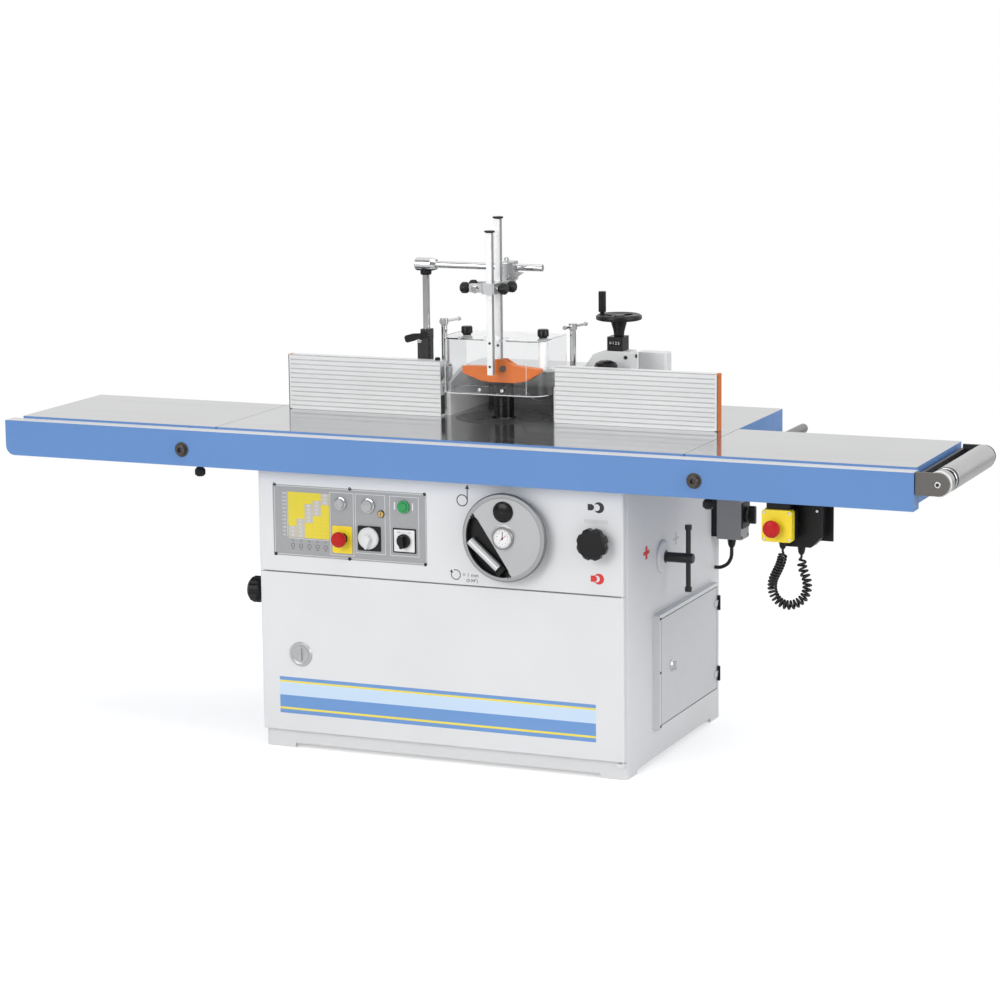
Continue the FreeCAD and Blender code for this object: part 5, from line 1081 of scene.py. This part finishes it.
red_hand.piece("gauge_red_hand", INK_RED, "height_handwheel")

# Sleeve that turns on the handwheel's grip
sleeve_run = (GRIP_END - GRIP_START).normalized()
sleeve_length = (GRIP_END - GRIP_START).length
SLEEVE_R = 11.4
SLEEVE_ENDS = (9, sleeve_length + 5)
sleeve_plane = Plane((GRIP_START.x, GRIP_Y, GRIP_START.y), (0, 1, 0), (-sleeve_run.y, 0, sleeve_run.x))
sleeve = Shape().turned(
    sleeve_plane,
    (0, 0),
    [
        (SLEEVE_R - 4, SLEEVE_ENDS[0]),
        (SLEEVE_R - 0.8, SLEEVE_ENDS[0]),
        (SLEEVE_R, SLEEVE_ENDS[0] + 0.8),
        (SLEEVE_R, SLEEVE_ENDS[1] - 1),
        (SLEEVE_R - 1, SLEEVE_ENDS[1]),
        (4, SLEEVE_ENDS[1]),
    ],
)
sleeve.piece("grip_sleeve", GRIP_METAL, "handwheel_grip")

# Door: plain stripes
DOOR_STRIPES = (
    (STRIPE_BLUE, 0.107),
    (STRIPE_YELLOW, 0.059),
    (STRIPE_BLUE, 0.332),
    (STRIPE_PALE, 0.354),
    (STRIPE_YELLOW, 0.052),
    (STRIPE_BLUE, 0.096),
)
STRIPES_HEIGHT = 98
STRIPES_X = (-481, 413)
stripe_low = 96
for index, (material, share) in enumerate(DOOR_STRIPES):
    stripe_high = stripe_low + STRIPES_HEIGHT * share
    stripe = Shape().slab(PANEL, STRIPES_X, (stripe_low, stripe_high), 0, 0.2, 0.2)
    stripe.piece(f"door_stripe_{index}", material, "front_door")
    stripe_low = stripe_high

# Right side: plus marks, gap and screws of the enclosure
SIDE = right_side(492)


def plus_mark(centre, reach_y, reach_z, arm_y, arm_z):
    """Upright cross: a bar across, with an arm above and an arm below."""
    y, z = centre
    mark = Shape().slab(SIDE, (y - reach_y, y + reach_y), (z - arm_z, z + arm_z), 0, INK, 0.4)
    mark.slab(SIDE, (y - arm_y, y + arm_y), (z + arm_z, z + reach_z), 0, INK, 0.4)
    mark.slab(SIDE, (y - arm_y, y + arm_y), (z - reach_z, z - arm_z), 0, INK, 0.4)
    return mark


plus_mark((205, 562), 21, 17, 7, 5).piece("tension_red_plus", INK_RED)
plus_mark((425, 559), 20, 16, 5, 3).piece("tension_grey_plus", INK_GREY)
ENCLOSURE = right_side(ENCLOSURE_FACE)
enclosure_gap = Shape().frame(ENCLOSURE, (257.5, 694.5), (97.5, 380.5), 1.8, 0, 0.2)
enclosure_gap.piece("enclosure_gap", DARK_JOINT_AND_PAINTED_SHADE)
ENCLOSURE_SCREWS = ((253.5, 381), (253.5, 239), (253.5, 97))
screws("enclosure_screws", BLACK_METAL, ENCLOSURE, ENCLOSURE_SCREWS, 3.4, 2, 1.7)

# Boxes: cover screws
STATION = front(STATION_FACE)
JUNCTION = front(78)
box_screws = Shape()
for centre in ((869.5, 658.5), (869.5, 724.5), (933.5, 658.5), (933.5, 724.5)):
    box_screws.socket_screw(STATION, centre, 3.6, 2, 1.8)
for centre in ((983, 722), (910, 722)):
    box_screws.socket_screw(JUNCTION, centre, 3.4, 2, 1.7)
box_screws.piece("box_screws", CHROME)
SWITCH_SCREWS = ((707, 515), (707, 633), (759, 515), (759, 633))
screws("switch_box_screws", BLACK_METAL, right_side(SWITCH_FACE), SWITCH_SCREWS, 3.4, 1.8, 1.7)

# Fence: inner end strips, top screw, outer edges, and screws of its drive
FENCE_END = right_side(-163)
Shape().slab(FENCE_END, (403, 428), (855, 906), 0, 0.15, 1).piece("fence_end_pad", BLACK, "left_fence")
Shape().slab(FENCE_END, (403, 428), (932, 996), 0, 0.15, 1).piece("fence_end_cover", CHROME, "left_fence")
fence_screw = Shape().turned(level_top(999), (-176, 414), [(7, 0), (7, 6), (5.5, 8)])
fence_screw.piece("fence_top_screw", BLACK, "left_fence")
for fence, ends in (("left_fence", (-612.8, -610.6)), ("right_fence", (612.6, 614.8))):
    fence_edge = Shape().slab(front(FENCE_FACE), ends, (850.6, 998.4), 0, 0.2, 0.1)
    fence_edge.piece(fence + "_edge", DARK_JOINT_AND_PAINTED_SHADE, fence)
housing_screws = Shape().socket_screw(front(520), (318, 1014), 5, 3.2, 2.4)
housing_screws.socket_screw(right_side(333), (555, 1014), 5, 3.2, 2.4)
housing_screws.piece("housing_screws", BLACK_METAL)
CARRIER_SCREWS = ((222, 459), (326, 459))
screws("carrier_screws", BLACK_METAL, level_top(975), CARRIER_SCREWS, 5, 3.2, 2.4, "infeed_carrier")

# Sheet across the mouth of the extraction spigot, in the hood's painted shade: stands in for the shade
# inside the duct
port_painted_shade_sheet = Shape().turned(front(698), (0, 908), [(49.6, 0), (49.6, 2), (46, 3)])
port_painted_shade_sheet.piece("port_painted_shade_sheet", HOOD_INSIDE_PAINTED_SHADE)

# Counter window on the front of the counter
COUNTER = Plane((285, 525, HOUSING_TOP), (1, 0, 0), (0, 0, 1))
window = Shape().slab(COUNTER, (-17, 17), (14, 28), 0, 0.8, 2, 0.3)
window.piece("counter_window", GLOSS_BLACK)
digits = Shape()
for index, digit in enumerate("0125"):
    digits.text(COUNTER, digit, (-11.5 + 7.7 * index, 21), 7.5, 0.9)
digits.piece("counter_digits", INK_WHITE)

# Pressure holder: bolts, painted shade in the bar holes, and star centres
BRACKET = front(440)
BRACKET_BOLT = (-240, 1046)
bracket_bolt = Shape().washer(BRACKET, BRACKET_BOLT, 4, 6.5, 0, 2)
bracket_bolt.socket_screw(BRACKET, BRACKET_BOLT, 5.5, 5, 2.8)
bracket_bolt.piece("bracket_bolt", CHROME)
CLAMP = front(331)
CLAMP_BOLT = (-29, 1203)
clamp_bolt = Shape().washer(CLAMP, CLAMP_BOLT, 4, 11, 0, 1.6)
clamp_bolt.hex_head(CLAMP, CLAMP_BOLT, 9.5, 1.4, 7)
clamp_bolt.hex_head(front(437), (19, 1226), 6.5, 0, 4)
clamp_bolt.piece("clamp_bolt", CHROME, "pressure_clamp")
HOLDER_X = 10
# Black discs in the bars' holes: painted shade.
HOLE_PAINTED_SHADE = ((3.6, 0), (3.6, 0.25))
bar_hole_painted_shade = Shape()
for z in (1000, 1062):
    bar_hole_painted_shade.turned(front(332), (HOLDER_X, z), HOLE_PAINTED_SHADE)
bar_hole_painted_shade.piece("front_bar_hole_painted_shade", INK_BLACK, "front_pressure_bar")
rear_hole_painted_shade = Shape().turned(front(388), (HOLDER_X, 1050), HOLE_PAINTED_SHADE)
rear_hole_painted_shade.piece("rear_bar_hole_painted_shade", INK_BLACK, "rear_pressure_bar")
for bar, y, z in (("front_pressure_bar", 340, 1354.6), ("rear_pressure_bar", SHOE_Y, 1386.6)):
    star = Shape().turned(level_top(z), (HOLDER_X, y), [(4.6, 0), (4.6, 1), (3.6, 1.3)])
    star.piece(bar + "_star_centre", CHROME, bar)

# Guard: knobs, clear column, front strip and painted highlight along its edge
GUARD_KNOBS = ((-97, 430), (121, 430))
GUARD_FRONT_Y = 355
GUARD_FRONT = front(GUARD_FRONT_Y)
GUARD_LOW = 922
GUARD_FLAT = 103
GUARD_BEND = 44
EDGE_OUT = 0.4
guard_knobs = Shape()
for centre in GUARD_KNOBS:
    profile = [(11, 0), (11, 3), (15, 4.5), (15, 20), (13, 23), (4, 23.5)]
    guard_knobs.turned(level_top(1069), centre, profile)
guard_knobs.piece("guard_knobs", BLACK, "clear_guard")
column = Shape().turned(level_top(985), GUARD_KNOBS[1], [(12.5, 0), (12.5, 80)])
column.piece("guard_column", FROSTED_AND_EDGE_HIGHLIGHT, "clear_guard")
strip = Shape().slab(GUARD_FRONT, (-101, 101), (926, 945), 0.1, 4, 2, 0.5)
strip.piece("guard_strip", CLEAR, "clear_guard")
STRIP_SCREWS = ((-28, 935.5), (36, 935.5))
screws("guard_strip_screws", CHROME, front(GUARD_FRONT_Y - 4), STRIP_SCREWS, 4.5, 2.8, 2.2, "clear_guard")
# Pale strips along the guard's low edge, its bends and one upright corner: painted highlight.
edge_z = (GUARD_LOW, GUARD_LOW + 2)
guard_highlight_edge = Shape().slab(GUARD_FRONT, (-GUARD_FLAT, GUARD_FLAT), edge_z, 0, EDGE_OUT, 0.1)
for x, start in ((-GUARD_FLAT, 180), (GUARD_FLAT, 270)):
    centre = (x, GUARD_FRONT_Y + GUARD_BEND)
    guard_highlight_edge.arc(level_top(GUARD_LOW), centre, GUARD_BEND, GUARD_BEND + EDGE_OUT, start, start + 90, 0, 2)
guard_highlight_edge.slab(GUARD_FRONT, (GUARD_FLAT - 0.6, GUARD_FLAT + 0.6), (edge_z[1], 1066), 0, 0.3, 0.1)
guard_highlight_edge.piece("guard_painted_highlight_edge", FROSTED_AND_EDGE_HIGHLIGHT, "clear_guard")

# Roller: its bands from near to far, and the bolt in its bracket
ROLLER = (1303, 818)
AXLE_R = 8.2
ROLLER_BANDS = (
    ("roller_collar", WHITE, AXLE_R, 31, 14, 23),
    ("roller_ring", TUBE_METAL, AXLE_R, 30.2, 23, 52),
    ("roller_groove", BLACK, AXLE_R, 26.5, 52, 72),
    ("roller_shoulder", CHROME, AXLE_R, 29, 72, 80),
    ("roller_recess", BLACK, AXLE_R, 27, 80, 90),
    ("roller_sleeve", TUBE_METAL, 24, 31, 90, 432),
    ("roller_far_plug", TUBE_METAL, AXLE_R, 24, 414, 440),
)
for name, material, inner, outer, low_y, high_y in ROLLER_BANDS:
    band = Shape().ring(front(high_y), ROLLER, inner, outer, 0, high_y - low_y)
    made = band.piece(name, material, "roller_tube")
    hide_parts("roller_tube")
bracket_near = front(4)
roller_bolt = Shape().ring(bracket_near, ROLLER, 4.4, 7.6, 0, 2.4)
roller_bolt.piece("roller_bolt", CHROME, "roller_slide")
bolt_socket = Shape().turned(bracket_near, ROLLER, [(4.4, 0), (4.4, 0.6)])
bolt_socket.piece("roller_bolt_socket", BLACK_METAL, "roller_slide")


# Studio: white surroundings, pale floor, soft lamps
AMBIENT = 0.5
ROOM = 0.25
FLOOR_LIFT = 0.45
SHADOW_REACH = (1.2, 3.0)
FLOOR_REACH = 30
MIDDLE = (0, 0, 0.7)


def either_ray(tree, *kinds):
    """One where a ray is of one of these kinds, zero elsewhere."""
    rays = tree.nodes.new("ShaderNodeLightPath")
    found = rays.outputs[kinds[0]]
    for kind in kinds[1:]:
        found = combined(tree, "MAXIMUM", found, rays.outputs[kind])
    return found


def studio_world():
    """White backdrop, seen also in metal and through glass; mirrored dimmer on the operator's side."""
    world = bpy.data.worlds.new("studio")
    bpy.context.scene.world = world
    world.use_nodes = True
    tree = world.node_tree

    def background(strength):
        shade = tree.nodes.new("ShaderNodeBackground")
        shade.inputs["Color"].default_value = (1, 1, 1, 1)
        shade.inputs["Strength"].default_value = strength
        return shade

    lit = background(AMBIENT).outputs["Background"]
    white = background(1.0).outputs["Background"]
    mirrored = background(1.0)
    towards = tree.nodes.new("ShaderNodeSeparateXYZ")
    tree.links.new(tree.nodes.new("ShaderNodeTexCoord").outputs["Generated"], towards.inputs["Vector"])
    behind = remapped(tree, towards.outputs["Y"], (-0.6, 0.2), (ROOM, 1.0))
    tree.links.new(behind, mirrored.inputs["Strength"])
    glossy = mixed_shader(tree, either_ray(tree, "Is Glossy Ray"), lit, mirrored.outputs["Background"])
    seen = mixed_shader(tree, either_ray(tree, "Is Camera Ray", "Is Transmission Ray"), glossy, white)
    tree.links.new(seen, tree.nodes["World Output"].inputs["Surface"])


def soft_lamp(name, place, aim, size, level_share):
    """Square area lamp; level_share is the brightness it gives a white surface that faces it."""
    lamp = bpy.data.lights.new(name, "AREA")
    lamp.size = size
    away = Vector(aim) - Vector(place)
    lamp.energy = level_share * math.pi ** 2 * away.length_squared
    turn = away.to_track_quat("-Z", "Y").to_matrix().to_4x4()
    add_object(name, lamp).matrix_world = Matrix.Translation(place) @ turn


def studio_floor():
    """Pale floor that shows white to the camera and keeps the machine's shadow."""
    material = bpy.data.materials.new("studio_floor")
    material.use_nodes = True
    tree = material.node_tree
    shader = tree.nodes["Principled BSDF"]
    shader.inputs["Base Color"].default_value = (0.8, 0.8, 0.8, 1)
    shader.inputs["Roughness"].default_value = 0.9
    shader.inputs["Specular IOR Level"].default_value = 0.0
    shader.inputs["Emission Color"].default_value = (1, 1, 1, 1)
    reach = tree.nodes.new("ShaderNodeVectorMath")
    reach.operation = "LENGTH"
    tree.links.new(tree.nodes.new("ShaderNodeTexCoord").outputs["Object"], reach.inputs[0])
    fade = remapped(tree, reach.outputs["Value"], SHADOW_REACH, (0, 1))
    seen = either_ray(tree, "Is Camera Ray", "Is Transmission Ray")
    tree.links.new(remapped(tree, seen, (0, 1), (0, FLOOR_LIFT)), shader.inputs["Emission Strength"])
    white = tree.nodes.new("ShaderNodeEmission")
    white.inputs["Color"].default_value = (1, 1, 1, 1)
    far = combined(tree, "MULTIPLY", seen, fade)
    shown = mixed_shader(tree, far, shader.outputs["BSDF"], white.outputs["Emission"])
    tree.links.new(shown, tree.nodes["Material Output"].inputs["Surface"])
    mesh = bpy.data.meshes.new("studio_floor")
    sides = ((-1, -1), (1, -1), (1, 1), (-1, 1))
    mesh.from_pydata([Vector((x * FLOOR_REACH, y * FLOOR_REACH, 0)) for x, y in sides], [], [(0, 1, 2, 3)])
    mesh.materials.append(material)
    add_object("studio_floor", mesh)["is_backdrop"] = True


studio_world()
studio_floor()
soft_lamp("front_lamp", (-2.0, -6.5, 3.4), MIDDLE, 4.0, 0.42)
soft_lamp("right_lamp", (6.5, -1.5, 3.0), MIDDLE, 4.0, 0.36)
soft_lamp("top_lamp", (0.5, -0.6, 6.0), MIDDLE, 4.5, 0.4)
bpy.context.scene.view_settings.view_transform = "Standard"

low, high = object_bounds()
